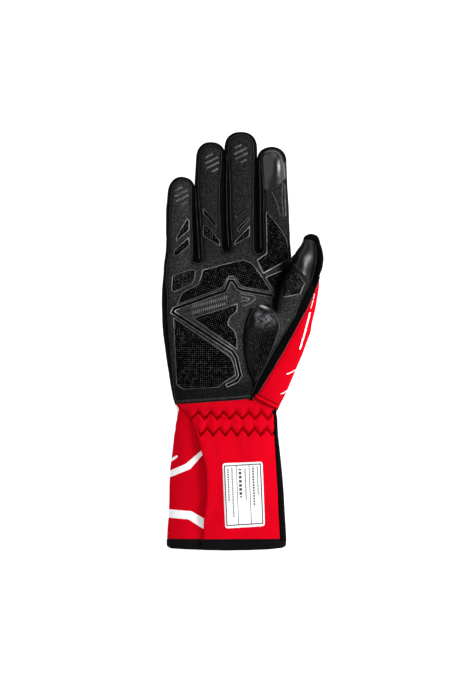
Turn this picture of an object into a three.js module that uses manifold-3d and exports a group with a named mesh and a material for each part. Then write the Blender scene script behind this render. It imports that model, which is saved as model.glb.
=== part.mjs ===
// Gauntlet racing glove for the right hand, lying on the back of the hand with its palm up.
// X runs across the palm towards the thumb, Y from the hem to the fingertips, Z up out of the palm.
// Every panel is a thin wall cut from one hollow hand form, open from the hem to the fingertips.
import * as THREE from "three";
import { mergeVertices } from "three/addons/utils/BufferGeometryUtils.js";
import Module from "manifold-3d";

const wasm = await Module();
wasm.setup();

// Driving dimensions, in millimetres
const WALL = 1.6; // leather and lined fabric
const GAP = 0.3; // between neighbouring pieces
const PRINT_HEIGHT = 0.8; // raised silicone grips
const PAD_HEIGHT = 1.6; // thicker pad on the thumb mound
const FRAME_WIDTH = 2.6; // raised line that frames the palm grips
const WELT_HEIGHT = 1.2; // turned seam edges at the wrist
const WELT_WIDTH = 3;
const HEM_OUT = 0.6; // the hem binding stands this far off the cuff, outside and inside
const HEM_TOP = 9.4; // upper edge of the hem binding
const SIDE_BAND = 4.6; // black band along the thumb side of the cuff, seen from the front
const SIDE_BAND_LOW = 5; // and down to this height on the side
const FOLD_LIFT = 2; // the front cuff panel lies this far above the panel under it
const LABEL_HEIGHT = 0.5;
const LABEL_GAP = 0.4; // clears the flat facets of the cloth under the label
const FINGER_FRONT_INSET = 3.2; // finger fronts end this far inside the finger's outline
const FINGER_BACK_INSET = 1.2;
const FAR = 200; // past the whole glove

// Turns rows of numbers into objects with named columns.
function table(columns, rows) {
  return rows.map((row) => Object.fromEntries(columns.map((name, i) => [name, row[i]])));
}

// Cuff, wrist and palm, from the hem up to the webs between the fingers.
// squeeze is the share of the thickness kept, arch the share of the curve of the webs in the row.
const TRUNK = table(
  ["y", "left", "right", "top", "power", "squeeze", "arch"],
  [
    [-5, -45.9, 45.9, 24, 2.2, 1, 0],
    [8.5, -45.8, 45.6, 24.5, 2.2, 1, 0],
    [40, -44.4, 43.9, 25.5, 2.2, 1, 0],
    [63, -43.2, 42, 26, 2.3, 1, 0],
    [78.5, -41.3, 40.5, 25.6, 2.3, 1, 0],
    [92, -40, 39.2, 24.6, 2.4, 1, 0],
    [107, -38.3, 38.6, 24.4, 2.5, 1, 0],
    [114, -40.2, 41.4, 26, 2.6, 1, 0],
    [137, -44.4, 46.8, 28, 2.7, 1, 0],
    [158, -47.3, 48.8, 28.5, 2.7, 1, 0],
    [179, -49.6, 49.7, 28, 2.7, 1, 0],
    [196, -49.7, 49.7, 26.2, 2.7, 1, 0],
    [212, -49.2, 49.9, 23.6, 2.7, 1, 0.3],
    [229, -47.4, 49.2, 21, 2.7, 1, 1],
    [232.4, -46.4, 48.2, 21, 2.7, 0.8, 1],
    [234.2, -45, 47, 21, 2.7, 0.4, 1],
  ],
);
const TRUNK_SIDES = 26;
const TRUNK_DOWN = 0.62; // the form reaches this share of its height below the middle, before the floor
const ARCH_CENTRE = 8; // x of the deepest reach of the webs
const ARCH_CURVE = 0.009;
const ARCH_LIMIT = 9;

// Fingers and thumb: sections along each one, then a domed tip.
// lean turns a section towards the thumb side, in degrees.
const DIGIT_COLUMNS = ["y", "x", "halfWidth", "z", "halfThick", "lean"];
const DIGITS = {
  pinky: {
    sides: 12,
    power: 2.3,
    tip: 13,
    rows: table(DIGIT_COLUMNS, [
      [204, -37.4, 10.6, 10.6, 8.6, 0],
      [221, -36.4, 11.5, 10.6, 9.2, 0],
      [233, -35.3, 11, 10.6, 9.2, 0],
      [256, -35.4, 10.9, 11.4, 9, 0],
      [276, -35.2, 10.2, 12.8, 8.6, 1],
    ]),
  },
  ring: {
    sides: 12,
    power: 2.3,
    tip: 13.2,
    rows: table(DIGIT_COLUMNS, [
      [206, -11.6, 10.4, 10.8, 8.8, 0],
      [232.5, -11.7, 10.8, 11, 9.5, 0],
      [268, -13.1, 10.7, 12, 9.3, 0],
      [302.5, -12.4, 10.3, 14.2, 8.8, 1],
    ]),
  },
  middle: {
    sides: 12,
    power: 2.3,
    tip: 14.2,
    rows: table(DIGIT_COLUMNS, [
      [206, 11.2, 11.6, 10.8, 9.2, 0],
      [232.5, 11.4, 12, 11, 9.8, 0],
      [272, 10.9, 12.4, 12.2, 9.6, 0],
      [310, 11, 11.9, 14.8, 9.1, 0],
    ]),
  },
  index: {
    sides: 12,
    power: 2.3,
    tip: 12.7,
    rows: table(DIGIT_COLUMNS, [
      [204, 37.6, 11.2, 10.8, 9, 0],
      [221, 37.6, 12, 10.8, 9.6, 0],
      [233, 36.6, 11.5, 11, 9.6, 0],
      [270, 35.8, 11.4, 12.2, 9.4, 0],
      [299.5, 35, 10.8, 14.2, 8.8, 0],
    ]),
  },
  thumb: {
    sides: 12,
    power: 2.2,
    tip: 14.6,
    rows: table(DIGIT_COLUMNS, [
      [108, 27, 9, 11, 9, 0],
      [117, 29.6, 13, 14, 12.2, 0],
      [141, 32, 21, 17, 15.4, 0],
      [155.5, 34.9, 24.2, 18.5, 15.8, 0],
      [168.5, 38.4, 25.2, 20, 15.2, 2],
      [178, 43.6, 21.6, 20.8, 14.4, 5],
      [186, 51.4, 15.8, 21.4, 13.6, 8],
      [198.5, 55.4, 14.2, 22, 12.4, 11],
      [215, 59.6, 12.5, 23, 11, 12],
      [230, 62.6, 10.7, 24, 9.8, 9],
    ]),
  },
};
const THUMB_LEAVES = 4; // the row where the thumb leaves the palm
const TIP_ANGLES = [30, 55, 75]; // degrees up the dome
const DOME_ANGLES = [30, 60, 90, 120, 150]; // degrees round its outline, seen from above
const TIP_POWER = 2.3;
const TIP_RISE = 0.1;

// Seam between hand and cuff, from the little finger's side to the thumb's.
const PALM_SEAM = [[-40, 114], [2.7, 116.7], [21.6, 118.6]];
const WRAP_SEAM = [[21.6, 118.6], [41.4, 108.6]];
const WRIST_SEAM = [[-FAR, 113.6], ...PALM_SEAM, WRAP_SEAM[1], [FAR, 108.6]];

// Free edge of the front cuff panel, from the hem to the wrist.
const FOLD = [
  [-17.8, -10], [-17.3, 24], [-15.2, 43], [-15.4, 63], [-18.7, 76.5], [-23.1, 93.2], [-25.9, 99.3],
  [-33.5, 108.6], [-38, 114],
];

// Where the panel under it ends: below the fold on the cuff, beside it at the wrist.
const UNDER_FOLD = [
  [-8.3, -10], [-8.3, 40], [-9.1, 63], [-10.9, 78.5], [-13.5, 86], [-19.9, 91.5], [-26.4, 99.3],
  [-34, 108.6], [-38.5, 114], [-50, 140],
];

// Lower edge of the hem binding, which hangs lowest at mid width.
const HEM_LINE = [
  [-60, 3.2], [-46, 3.2], [-34, 1.6], [-17, 0.4], [0, 0], [17, 0.4], [34, 1.6], [46, 3.2], [60, 3.2],
];

// Suede palm. Its right edge runs beside the black strip that comes down from the thumb.
const PALM_FRONT = [
  [-45.2, 222], [-45.4, 202], [-45, 178.6], [-42.4, 148], [-39.4, 119], [-39.6, 108], [17.6, 108],
  [18.1, 118], [24.3, 132.4], [36.6, 155.5], [50.4, 178.6], [53, 184], [50, 192], [46.4, 200],
  [46, 220], [45.2, 227.5], [23.8, 229], [-0.5, 230.6], [-24, 222],
];
const PALM_FRONT_LOW = 14;
const RAISED_LOW = 17; // nothing raised sits lower than this
const THUMB_FRONT = [
  [50.4, 178.6], [59.2, 197.9], [62.6, 206], [64.6, 218], [66, 231], [66.4, 238], [65.2, 241.4],
  [62.4, 241.6], [59, 239.6], [55.4, 233], [49.6, 217.5], [43.5, 198], [38, 186], [34, 176],
];
const THUMB_FRONT_LOW = 21.5;

// Red fabric that wraps round from the back of the hand below the thumb.
const RED_WRAP = [
  [72.6, 223], [70.9, 212], [68.3, 202], [62.2, 188], [54.4, 174], [44.4, 155.5], [30.5, 132.4],
  [21.9, 118.2], [21.9, 90], [FAR, 90], [FAR, 223],
];
const BACK_TRUNK = [
  [-46.4, 222], [-48.2, 202], [-48, 179], [-45.8, 158], [-42.8, 137], [-40.8, 123], [-38.8, 112],
  [-38, 90], [FAR, 90], [FAR, 215], [66, 215], [50, 213], [48, 222], [47.4, 228.5], [23.8, 230],
  [-0.5, 231.6], [-24, 223],
];
const BACK_HIGH = 10.5;
const THUMB_BACK_HIGH = 17.5;

// Middle of the thumb's front, that parts the strips on its two sides.
const THUMB_AXIS = [[10, 90], [10, 120], [46, 184], [58, 210], [62, 230]];

// Smooth leather patches over the tips of index finger and thumb, in place of the suede.
const PATCHES = {
  index_tip_patch: [[24, 280.5], [34.6, 278], [42.7, 285], [52, 293], [52, 330], [24, 330]],
  thumb_tip_patch: [
    [48.5, 224], [50.4, 222.6], [56.6, 216.4], [65.4, 206.4], [90, 206], [90, 260], [48.5, 260],
  ],
};

// Raised grips
const GRIPS = {
  grip_ulnar: [
    [-41.9, 212.9], [-27.6, 217.8], [-23.2, 217.3], [-24.4, 209.4], [-26.2, 206.5], [-39.9, 199.7],
    [-42.4, 200.6],
  ],
  grip_upper: [
    [-18.6, 217.3], [3.8, 223.2], [12.6, 225.1], [19.2, 222.9], [25.4, 215], [35.2, 199.8], [13.4, 203.2],
    [10.6, 204.8], [5.6, 211.8], [1.4, 211.6], [-2.4, 203.6], [-8, 201.1], [-38.6, 189.6], [-34.5, 199.7],
    [-22.3, 205.7], [-19.8, 211.9],
  ],
  grip_centre: [
    [-26.6, 180], [8.8, 191.7], [8.2, 185], [2.8, 180.6], [1.2, 175.2], [6.6, 170.3], [8.5, 163.3],
    [8.5, 155.2],
  ],
  grip_heel: [
    [-41, 181.2], [3.2, 150.6], [5.6, 145.6], [7.6, 136.4], [-1.6, 130.6], [-6, 126.6], [-33.3, 125],
    [-38.3, 128.7],
  ],
  grip_index: [
    [30.3, 263.3], [42, 246], [44.4, 238], [44.8, 223.3], [27.9, 213.8], [22.9, 224.8], [30.9, 230],
  ],
  grip_web: [[29.6, 211.4], [43.4, 217.6], [43.6, 211], [37.3, 200.6]],
  grip_thumb: [[49.6, 217.6], [55.5, 213.4], [60, 206.4], [56.7, 198.4], [46.4, 195.4], [46.4, 205.4]],
  blade_pinky_upper: [[-31, 256.8], [-28.6, 256], [-28.6, 247.9], [-38.9, 238.3], [-38.9, 242.6]],
  blade_pinky_lower: [[-29, 242.9], [-28.4, 235.6], [-38.5, 227.2], [-41, 228.3], [-40.4, 232.5]],
  blade_ring_upper: [[-18, 265.6], [-7.8, 253.3], [-7.4, 247.9], [-18.4, 260.4]],
  blade_ring_lower: [[-18, 252.2], [-14.6, 251.4], [-5.4, 240.2], [-5, 234.8], [-18.2, 243.3]],
  blade_middle_upper: [[16.4, 267.6], [17, 264.6], [6.8, 256], [6.4, 259.4]],
  blade_middle_centre: [[17.6, 258.8], [17.8, 255.6], [9, 245.6], [7.4, 248.6]],
  blade_middle_lower: [[18, 251.6], [17.8, 242.9], [5.2, 235.3], [6.4, 239.4]],
};
const THENAR_PAD = [
  [27.3, 189], [19.8, 186], [16, 178.1], [14.4, 165.9], [14.8, 154.7], [17.6, 141.1], [22.6, 131.4],
  [27.3, 137.3], [35.8, 157.4], [39.5, 166.5], [41.4, 174.4], [39.5, 180.6], [33.5, 187],
];
const FRAME_LINE = [
  [36, 197.2], [12, 201.4], [8.6, 202.8], [5, 208.8], [2.2, 208.8], [-1.2, 201], [-38.6, 187],
  [-39.4, 184.4], [4.4, 154.6], [7.4, 150], [10.6, 136], [8, 132], [-0.4, 128],
];

// Front cuff panel: rows from the hem to the wrist seam. zig is how far the stitches step up and down,
// column by column, and raise how far the cloth stands out, with the two elastic rows drawn in.
const ELASTIC_LOW = 92.4;
const ELASTIC_HIGH = 105.7;
const CUFF_COLUMNS = 12;
const CUFF_FRONT = table(
  ["y", "zig", "raise"],
  [
    [HEM_TOP + GAP, 0, 0],
    [24, 0, 0],
    [43, 0, 0],
    [63, 0, 0],
    [76, 0, 0.2],
    [84, 0, 0.4],
    [ELASTIC_LOW - 1.8, 2.7, 0.2],
    [ELASTIC_LOW, 2.7, -1.2],
    [ELASTIC_LOW + 1.8, 2.7, 0.3],
    [99, 0, 0.9],
    [ELASTIC_HIGH - 1.8, -2.5, 0.3],
    [ELASTIC_HIGH, -2.5, -1.2],
    [ELASTIC_HIGH + 1.8, -2.5, 0.2],
  ],
);
const CUFF_SEAM_ENDS = [-37.4, 35.4];
const LABEL_CORNERS = [[-0.8, 18.1], [29.9, 20], [27.7, 69.7], [-3.1, 68.5]];

const radians = THREE.MathUtils.degToRad;
const { lerp, smoothstep } = THREE.MathUtils;

function signedPower(value, exponent) {
  return Math.sign(value) * Math.abs(value) ** exponent;
}

// One coordinate of a line where the other one, number given, has a value.
function along(line, value, given) {
  let i = 1;
  while (i < line.length - 1 && line[i][given] < value) i++;
  const [before, after] = [line[i - 1], line[i]];
  const share = (value - before[given]) / (after[given] - before[given]);
  return lerp(before[1 - given], after[1 - given], share);
}

const foldX = (y) => along(FOLD, y, 1);
const seamY = (x) => along(WRIST_SEAM, x, 0);

function solidOf(vertices, faces) {
  const vertProperties = new Float32Array(vertices.flat());
  const triVerts = new Uint32Array(faces);
  return new wasm.Manifold(new wasm.Mesh({ numProp: 3, vertProperties, triVerts }));
}

// A solid through rings of points, closed by a fan to a point at each end.
function loft(rings, firstPoint, lastPoint) {
  const sides = rings[0].length;
  const vertices = [firstPoint, ...rings.flat(), lastPoint];
  const at = (ring, side) => 1 + ring * sides + (side % sides);
  const end = vertices.length - 1;
  const faces = [];
  for (let side = 0; side < sides; side++) {
    faces.push(0, at(0, side), at(0, side + 1));
    for (let ring = 0; ring + 1 < rings.length; ring++) {
      const [a, b] = [at(ring, side), at(ring, side + 1)];
      const [c, d] = [at(ring + 1, side), at(ring + 1, side + 1)];
      faces.push(a, d, b, a, c, d);
    }
    faces.push(end, at(rings.length - 1, side + 1), at(rings.length - 1, side));
  }
  return solidOf(vertices, faces);
}

// A solid between an upper and a lower grid of points, both row by row and left to right.
function slab(upper, lower) {
  const [rows, columns] = [upper.length, upper[0].length];
  const top = (row, column) => row * columns + column;
  const bottom = (row, column) => rows * columns + top(row, column);
  const faces = [];
  const quad = (a, b, c, d) => faces.push(a, b, c, a, c, d);
  for (let row = 0; row + 1 < rows; row++) {
    for (let column = 0; column + 1 < columns; column++) {
      const [right, next] = [column + 1, row + 1];
      quad(top(row, column), top(row, right), top(next, right), top(next, column));
      quad(bottom(row, column), bottom(next, column), bottom(next, right), bottom(row, right));
    }
    const edge = columns - 1;
    quad(top(row, 0), top(row + 1, 0), bottom(row + 1, 0), bottom(row, 0));
    quad(top(row, edge), bottom(row, edge), bottom(row + 1, edge), top(row + 1, edge));
  }
  for (let column = 0; column + 1 < columns; column++) {
    const end = rows - 1;
    quad(top(0, column), bottom(0, column), bottom(0, column + 1), top(0, column + 1));
    quad(top(end, column), top(end, column + 1), bottom(end, column + 1), bottom(end, column));
  }
  return solidOf([...upper.flat(), ...lower.flat()], faces);
}

// A column with the given outline in X and Y, between two heights.
function column(outline, low = -FAR, high = FAR) {
  const shape = new THREE.Shape(outline.map(([x, y]) => new THREE.Vector2(x, y)));
  const geometry = new THREE.ExtrudeGeometry(shape, { depth: high - low, bevelEnabled: false });
  geometry.translate(0, 0, low);
  geometry.deleteAttribute("normal");
  geometry.deleteAttribute("uv");
  const merged = mergeVertices(geometry, 1e-4);
  const vertProperties = merged.attributes.position.array;
  const triVerts = new Uint32Array(merged.index.array);
  return new wasm.Manifold(new wasm.Mesh({ numProp: 3, vertProperties, triVerts }));
}

function unite(solids) {
  return solids.reduce((whole, solid) => whole.add(solid));
}

// The step to the right of a bend in a line, long enough to move both of its sides by one.
function mitre([before, point, after], side = 1) {
  const [first, second] = [[before, point], [point, after]].map(([a, b]) => {
    const length = Math.hypot(b[0] - a[0], b[1] - a[1]);
    return [(side * (b[1] - a[1])) / length, (-side * (b[0] - a[0])) / length];
  });
  const sum = [first[0] + second[0], first[1] + second[1]];
  const scale = 1 / Math.max(0.5, (sum[0] ** 2 + sum[1] ** 2) / 2);
  return [sum[0] * scale, sum[1] * scale];
}

// A closed outline moved outwards.
function grown(outline, distance) {
  const area = THREE.ShapeUtils.area(outline.map(([x, y]) => new THREE.Vector2(x, y)));
  const count = outline.length;
  return outline.map((point, i) => {
    const bend = [outline[(i + count - 1) % count], point, outline[(i + 1) % count]];
    const [x, y] = mitre(bend, Math.sign(area));
    return [point[0] + x * distance, point[1] + y * distance];
  });
}

// The outline of a band along an open line.
function ribbon(line, width) {
  const mirrored = (a, b) => [2 * a[0] - b[0], 2 * a[1] - b[1]];
  const extended = [mirrored(line[0], line[1]), ...line, mirrored(line.at(-1), line.at(-2))];
  const edge = (reach) =>
    line.map((point, i) => {
      const [x, y] = mitre(extended.slice(i, i + 3));
      return [point[0] + x * reach, point[1] + y * reach];
    });
  return [...edge(width / 2), ...edge(-width / 2).reverse()];
}

const moved = (line, x, y) => line.map((point) => [point[0] + x, point[1] + y]);

// The trunk's section at any place along it.
function trunkRow(y) {
  const i = Math.max(1, TRUNK.findIndex((row) => row.y >= y));
  const [before, after] = [TRUNK[i - 1], TRUNK[i]];
  const share = (y - before.y) / (after.y - before.y);
  const columns = Object.keys(before);
  return Object.fromEntries(columns.map((name) => [name, lerp(before[name], after[name], share)]));
}

// A point of the trunk's section, at an offset from its outer face. The floor cuts it off flat.
function trunkPoint(row, angle, offset) {
  const height = signedPower(Math.sin(angle), 2 / row.power);
  const reach = row.squeeze * row.top * (height > 0 ? 0.5 : TRUNK_DOWN) + offset;
  const halfWidth = (row.right - row.left) / 2 + offset;
  const x = (row.left + row.right) / 2 + halfWidth * signedPower(Math.cos(angle), 2 / row.power);
  const back = Math.min(ARCH_LIMIT, ARCH_CURVE * (x - ARCH_CENTRE) ** 2);
  return [x, row.y + row.arch * (offset - back), Math.max(row.top / 2 + height * reach, -offset, 0)];
}

function trunk(offset) {
  const rings = TRUNK.map((row) =>
    Array.from({ length: TRUNK_SIDES }, (_, i) => trunkPoint(row, (2 * Math.PI * i) / TRUNK_SIDES, offset)),
  );
  const [first, last] = [TRUNK[0], TRUNK.at(-1)];
  return loft(rings, [0, first.y, first.top / 2], [ARCH_CENTRE, last.y + 0.4 + offset, last.top / 2]);
}

// A point on a digit's axis, past its last row.
function reachPoint(last, reach) {
  const lean = radians(last.lean);
  return [last.x + reach * Math.sin(lean), last.y + reach * Math.cos(lean), last.z + reach * TIP_RISE];
}

function digit({ rows, sides, power, tip }, offset) {
  const last = rows.at(-1);
  const domes = TIP_ANGLES.map((angle) => {
    const share = Math.cos(radians(angle)) ** (2 / TIP_POWER);
    const [x, y, z] = reachPoint(last, (tip + offset) * Math.sin(radians(angle)) ** (2 / TIP_POWER));
    const halfWidth = (last.halfWidth + offset) * share - offset;
    const halfThick = (last.halfThick + offset) * share - offset;
    return { ...last, x, y, z, halfWidth, halfThick };
  });
  const flatSides = Math.cos(Math.PI / sides) ** (2 / power); // so that the flat sides lie at full width
  const rings = [...rows, ...domes].map((row) =>
    Array.from({ length: sides }, (_, side) => {
      const angle = (2 * Math.PI * (side + 0.5)) / sides;
      const across = ((row.halfWidth + offset) * signedPower(Math.cos(angle), 2 / power)) / flatSides;
      const height = ((row.halfThick + offset) * signedPower(Math.sin(angle), 2 / power)) / flatSides;
      return [
        row.x + across * Math.cos(radians(row.lean)),
        row.y - across * Math.sin(radians(row.lean)),
        Math.max(row.z + height, -offset, 0),
      ];
    }),
  );
  return loft(rings, [rows[0].x, rows[0].y, rows[0].z], reachPoint(last, tip + offset));
}

// The whole hand form at an offset from the glove's outer face.
function handForm(offset) {
  return unite([trunk(offset), ...Object.values(DIGITS).map((form) => digit(form, offset))]);
}

// A digit's outline in X and Y, drawn in by an inset, up one side, round the tip and down the other.
function digitOutline({ rows, tip }, inset, firstRow = 0) {
  const kept = rows.slice(firstRow);
  const last = rows.at(-1);
  const place = (row, across, reach) => {
    const lean = radians(row.lean);
    return [
      row.x + across * Math.cos(lean) + reach * Math.sin(lean),
      row.y - across * Math.sin(lean) + reach * Math.cos(lean),
    ];
  };
  const dome = DOME_ANGLES.map((angle) => {
    const across = (last.halfWidth - inset) * signedPower(Math.cos(radians(angle)), 2 / TIP_POWER);
    return place(last, across, (tip - inset) * Math.sin(radians(angle)) ** (2 / TIP_POWER));
  });
  const edge = (sign) => kept.map((row) => place(row, sign * (row.halfWidth - inset), 0));
  return [...edge(1), ...dome, ...edge(-1).reverse()];
}

// Everything on the fingers' side of the wrist seam, or on the cuff's side.
function besideWrist(sign) {
  const limit = sign > 0 ? 2 * FAR : -FAR;
  return column([...moved(WRIST_SEAM, 0, (sign * GAP) / 2), [FAR, limit], [-FAR, limit]]);
}

const FINGERS = ["pinky", "ring", "middle", "index"];

function frontRegion(extra) {
  const fingers = FINGERS.map((name) => {
    const outline = digitOutline(DIGITS[name], FINGER_FRONT_INSET - extra);
    return column(outline, DIGITS[name].rows[1].z + 1.5 - extra);
  });
  const thumb = column(grown(THUMB_FRONT, extra), THUMB_FRONT_LOW - extra);
  return unite([...fingers, thumb, column(grown(PALM_FRONT, extra), PALM_FRONT_LOW - extra)]);
}

function backRegion(extra) {
  const fingers = FINGERS.map((name) =>
    column(digitOutline(DIGITS[name], FINGER_BACK_INSET - extra), -FAR, BACK_HIGH + extra),
  );
  const thumbOutline = digitOutline(DIGITS.thumb, FINGER_BACK_INSET - extra, THUMB_LEAVES);
  const thumb = column(thumbOutline, -FAR, THUMB_BACK_HIGH + extra);
  const low = column(grown(BACK_TRUNK, extra), -FAR, BACK_HIGH + extra);
  return unite([...fingers, thumb, low, column(grown(RED_WRAP, extra))]);
}

// How far the front cuff panel stands off the trunk: lifted over the panel under its fold.
function cuffLift(x, y) {
  const fromFold = 1 - smoothstep(x - foldX(y), 12, 30);
  return FOLD_LIFT * fromFold * (1 - smoothstep(y, 96, 103));
}

function cuffPoint(x, y, offset) {
  const row = trunkRow(y);
  const share = (2 * x - row.left - row.right) / (row.right - row.left);
  const angle = Math.acos(signedPower(share, row.power / 2));
  return trunkPoint(row, angle, cuffLift(x, y) + offset);
}

// The front cuff panel's outer or inner face, as rows of points.
function cuffGrid(offset) {
  const shares = Array.from({ length: CUFF_COLUMNS + 1 }, (_, i) => i / CUFF_COLUMNS);
  const rows = CUFF_FRONT.map(({ y, zig, raise }) => {
    const left = foldX(y + zig) + GAP / 2;
    const right = trunkRow(y).right - SIDE_BAND - GAP;
    return shares.map((share, i) => {
      const nearFold = i < 2 && raise < 0;
      return cuffPoint(lerp(left, right, share), y + (i % 2 ? -zig : zig), offset + (nearFold ? 0 : raise));
    });
  });
  const seam = shares.map((share) => {
    const x = lerp(CUFF_SEAM_ENDS[0], CUFF_SEAM_ENDS[1], share);
    return cuffPoint(x, seamY(x) - GAP, offset);
  });
  return [...rows, seam];
}

function labelGrid(offset) {
  const [lowLeft, lowRight, highRight, highLeft] = LABEL_CORNERS;
  const between = (a, b, share) => [lerp(a[0], b[0], share), lerp(a[1], b[1], share)];
  return [0, 1, 2, 3, 4, 5, 6].map((i) =>
    [0, 1, 2, 3, 4].map((j) => {
      const low = between(lowLeft, lowRight, j / 4);
      const high = between(highLeft, highRight, j / 4);
      return cuffPoint(...between(low, high, i / 6), offset);
    }),
  );
}

// The part of the hem binding that goes over the front cuff panel.
function hemGrid(offset, lifted) {
  return [-4.9, 2, HEM_TOP].map((y) =>
    [0, 1, 2, 3, 4, 5, 6, 7, 8].map((i) => {
      const x = lerp(foldX(y), 22, i / 8);
      return cuffPoint(x, y, offset - (lifted ? 0 : cuffLift(x, y)));
    }),
  );
}

const FINISHES = {
  suede: new THREE.MeshStandardMaterial({ color: 0x232323, roughness: 0.85, metalness: 0 }),
  smoothLeather: new THREE.MeshStandardMaterial({ color: 0x1b1b1c, roughness: 0.32, metalness: 0 }),
  knit: new THREE.MeshStandardMaterial({ color: 0x101011, roughness: 0.95, metalness: 0 }),
  redFabric: new THREE.MeshStandardMaterial({ color: 0xd2000f, roughness: 0.8, metalness: 0 }),
  silicone: new THREE.MeshStandardMaterial({ color: 0x151516, roughness: 0.45, metalness: 0 }),
  label: new THREE.MeshStandardMaterial({ color: 0xf2f2f2, roughness: 0.6, metalness: 0 }),
};

const group = new THREE.Group();

function place(name, solid, finish) {
  const mesh = solid.getMesh();
  const position = new Float32Array(mesh.numVert * 3);
  for (let i = 0; i < mesh.numVert; i++) {
    const start = i * mesh.numProp;
    position.set(mesh.vertProperties.subarray(start, start + 3), i * 3);
  }
  const geometry = new THREE.BufferGeometry();
  geometry.setAttribute("position", new THREE.BufferAttribute(position, 3));
  geometry.setIndex(new THREE.BufferAttribute(mesh.triVerts, 1));
  geometry.computeVertexNormals();
  const piece = new THREE.Mesh(geometry, finish);
  piece.name = name;
  group.add(piece);
}

const shell = handForm(0).subtract(handForm(-WALL));
const hand = shell.intersect(besideWrist(1));
const cuff = shell.intersect(besideWrist(-1));

// Palm, with its fingertip patches
const front = hand.subtract(backRegion(GAP)).intersect(frontRegion(0));
let palm = front;
for (const [name, outline] of Object.entries(PATCHES)) {
  place(name, front.intersect(column(outline)), FINISHES.smoothLeather);
  palm = palm.subtract(column(grown(outline, GAP)));
}
place("palm_panel", palm, FINISHES.suede);

// Back of the hand
place("back_panel", hand.intersect(backRegion(0)), FINISHES.redFabric);

// Strips down the sides of the fingers, parted at the fingertips
const strips = hand.subtract(frontRegion(GAP)).subtract(backRegion(GAP));
const tipX = (name) => reachPoint(DIGITS[name].rows.at(-1), DIGITS[name].tip)[0];
const betweenX = (left, right, low) =>
  column([[left, low], [right, low], [right, 2 * FAR], [left, 2 * FAR]]);
const half = GAP / 2;
const thumbZone = column(digitOutline(DIGITS.thumb, -1, THUMB_LEAVES), THUMB_BACK_HIGH + GAP);
const axisTop = [tipX("thumb"), 2 * FAR];
const outerThumb = column([...moved([...THUMB_AXIS, axisTop], half, 0), [FAR, 2 * FAR], [FAR, 90]]);
const innerThumb = column([...moved([...THUMB_AXIS, axisTop], -half, 0), [-FAR, 2 * FAR], [-FAR, 90]]);
const STRIPS = {
  strip_ulnar: betweenX(-FAR, -38, 90).add(betweenX(-39, tipX("pinky") - half, 200)),
  strip_pinky_ring: betweenX(tipX("pinky") + half, tipX("ring") - half, 200),
  strip_ring_middle: betweenX(tipX("ring") + half, tipX("middle") - half, 200),
  strip_middle_index: betweenX(tipX("middle") + half, tipX("index") - half, 200),
  strip_index_side: betweenX(tipX("index") + half, 51, 180).subtract(thumbZone).intersect(innerThumb),
  strip_thumb_inner: thumbZone.intersect(innerThumb),
  strip_thumb_outer: outerThumb,
};
for (const [name, region] of Object.entries(STRIPS)) {
  place(name, strips.intersect(region), FINISHES.knit);
}

// Raised pieces on the hand
function raised(outline, height) {
  return handForm(GAP + height).subtract(handForm(GAP)).intersect(column(outline, RAISED_LOW));
}
for (const [name, outline] of Object.entries(GRIPS)) {
  place(name, raised(outline, PRINT_HEIGHT), FINISHES.silicone);
}
place("grip_frame", raised(ribbon(FRAME_LINE, FRAME_WIDTH), PRINT_HEIGHT), FINISHES.silicone);
place("thenar_pad", raised(THENAR_PAD, PAD_HEIGHT), FINISHES.silicone);
const welt = (line) => raised(ribbon(moved(line, 0, WELT_WIDTH / 2 + GAP), WELT_WIDTH), WELT_HEIGHT);
place("palm_welt", welt([[-36.5, 114.2], PALM_SEAM[1], [20.4, 118.4]]), FINISHES.knit);
place("wrap_welt", welt([[22.4, 118.4], [38.6, 110.2]]), FINISHES.redFabric);

// Cuff
const edgeOfBand = TRUNK.filter((row) => row.y <= 114).map((row) => [row.right - SIDE_BAND, row.y]);
const bandOutline = [...edgeOfBand, [FAR, 114], [FAR, -5]];
const aboveHem = column([[-FAR, HEM_TOP + GAP], [FAR, HEM_TOP + GAP], [FAR, FAR], [-FAR, FAR]]);
const panels = cuff.intersect(aboveHem);
place("side_binding", panels.intersect(column(bandOutline, SIDE_BAND_LOW)), FINISHES.knit);
const bandGap = column(grown(bandOutline, GAP), SIDE_BAND_LOW - GAP);
const underFront = column([...UNDER_FOLD, [FAR, 140], [FAR, -10]], 12);
place("cuff_back", panels.subtract(bandGap).subtract(underFront), FINISHES.redFabric);
place("cuff_front", slab(cuffGrid(0), cuffGrid(-WALL)), FINISHES.redFabric);
place("label", slab(labelGrid(LABEL_GAP + LABEL_HEIGHT), labelGrid(LABEL_GAP)), FINISHES.label);
const hemFront = slab(hemGrid(HEM_OUT, true), hemGrid(-1, false));
const hemRegion = column([...HEM_LINE, [60, HEM_TOP], [-60, HEM_TOP]]);
const hem = trunk(HEM_OUT).add(hemFront).subtract(trunk(-WALL - HEM_OUT)).intersect(hemRegion);
place("hem_binding", hem, FINISHES.knit);

// The origin goes to the middle of the underside.
const box = new THREE.Box3().setFromObject(group);
const middle = box.getCenter(new THREE.Vector3());
for (const piece of group.children) {
  piece.geometry.translate(-middle.x, -middle.y, -box.min.z);
}

export default group;
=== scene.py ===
"""Gauntlet racing glove for the right hand, dressed in suede, silicone, knit and red cloth.

The glove lies on the back of the hand with its palm up. Tables and outlines give millimetres in the
hand frame: X runs across the palm towards the thumb, Y from the hem to the fingertips, Z up from the
floor. Each piece is built in that frame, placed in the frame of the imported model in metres, and stands
for the node of the same name.
"""

import logging
import math
from collections.abc import Callable, Iterable, Sequence
from dataclasses import dataclass, field, replace
from enum import Enum
from functools import cached_property

import bpy
import numpy as np
from bpy.types import Material, Node, NodeSocket, NodeTree, Object, bpy_prop_collection
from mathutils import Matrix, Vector, noise
from mathutils.bvhtree import BVHTree


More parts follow.
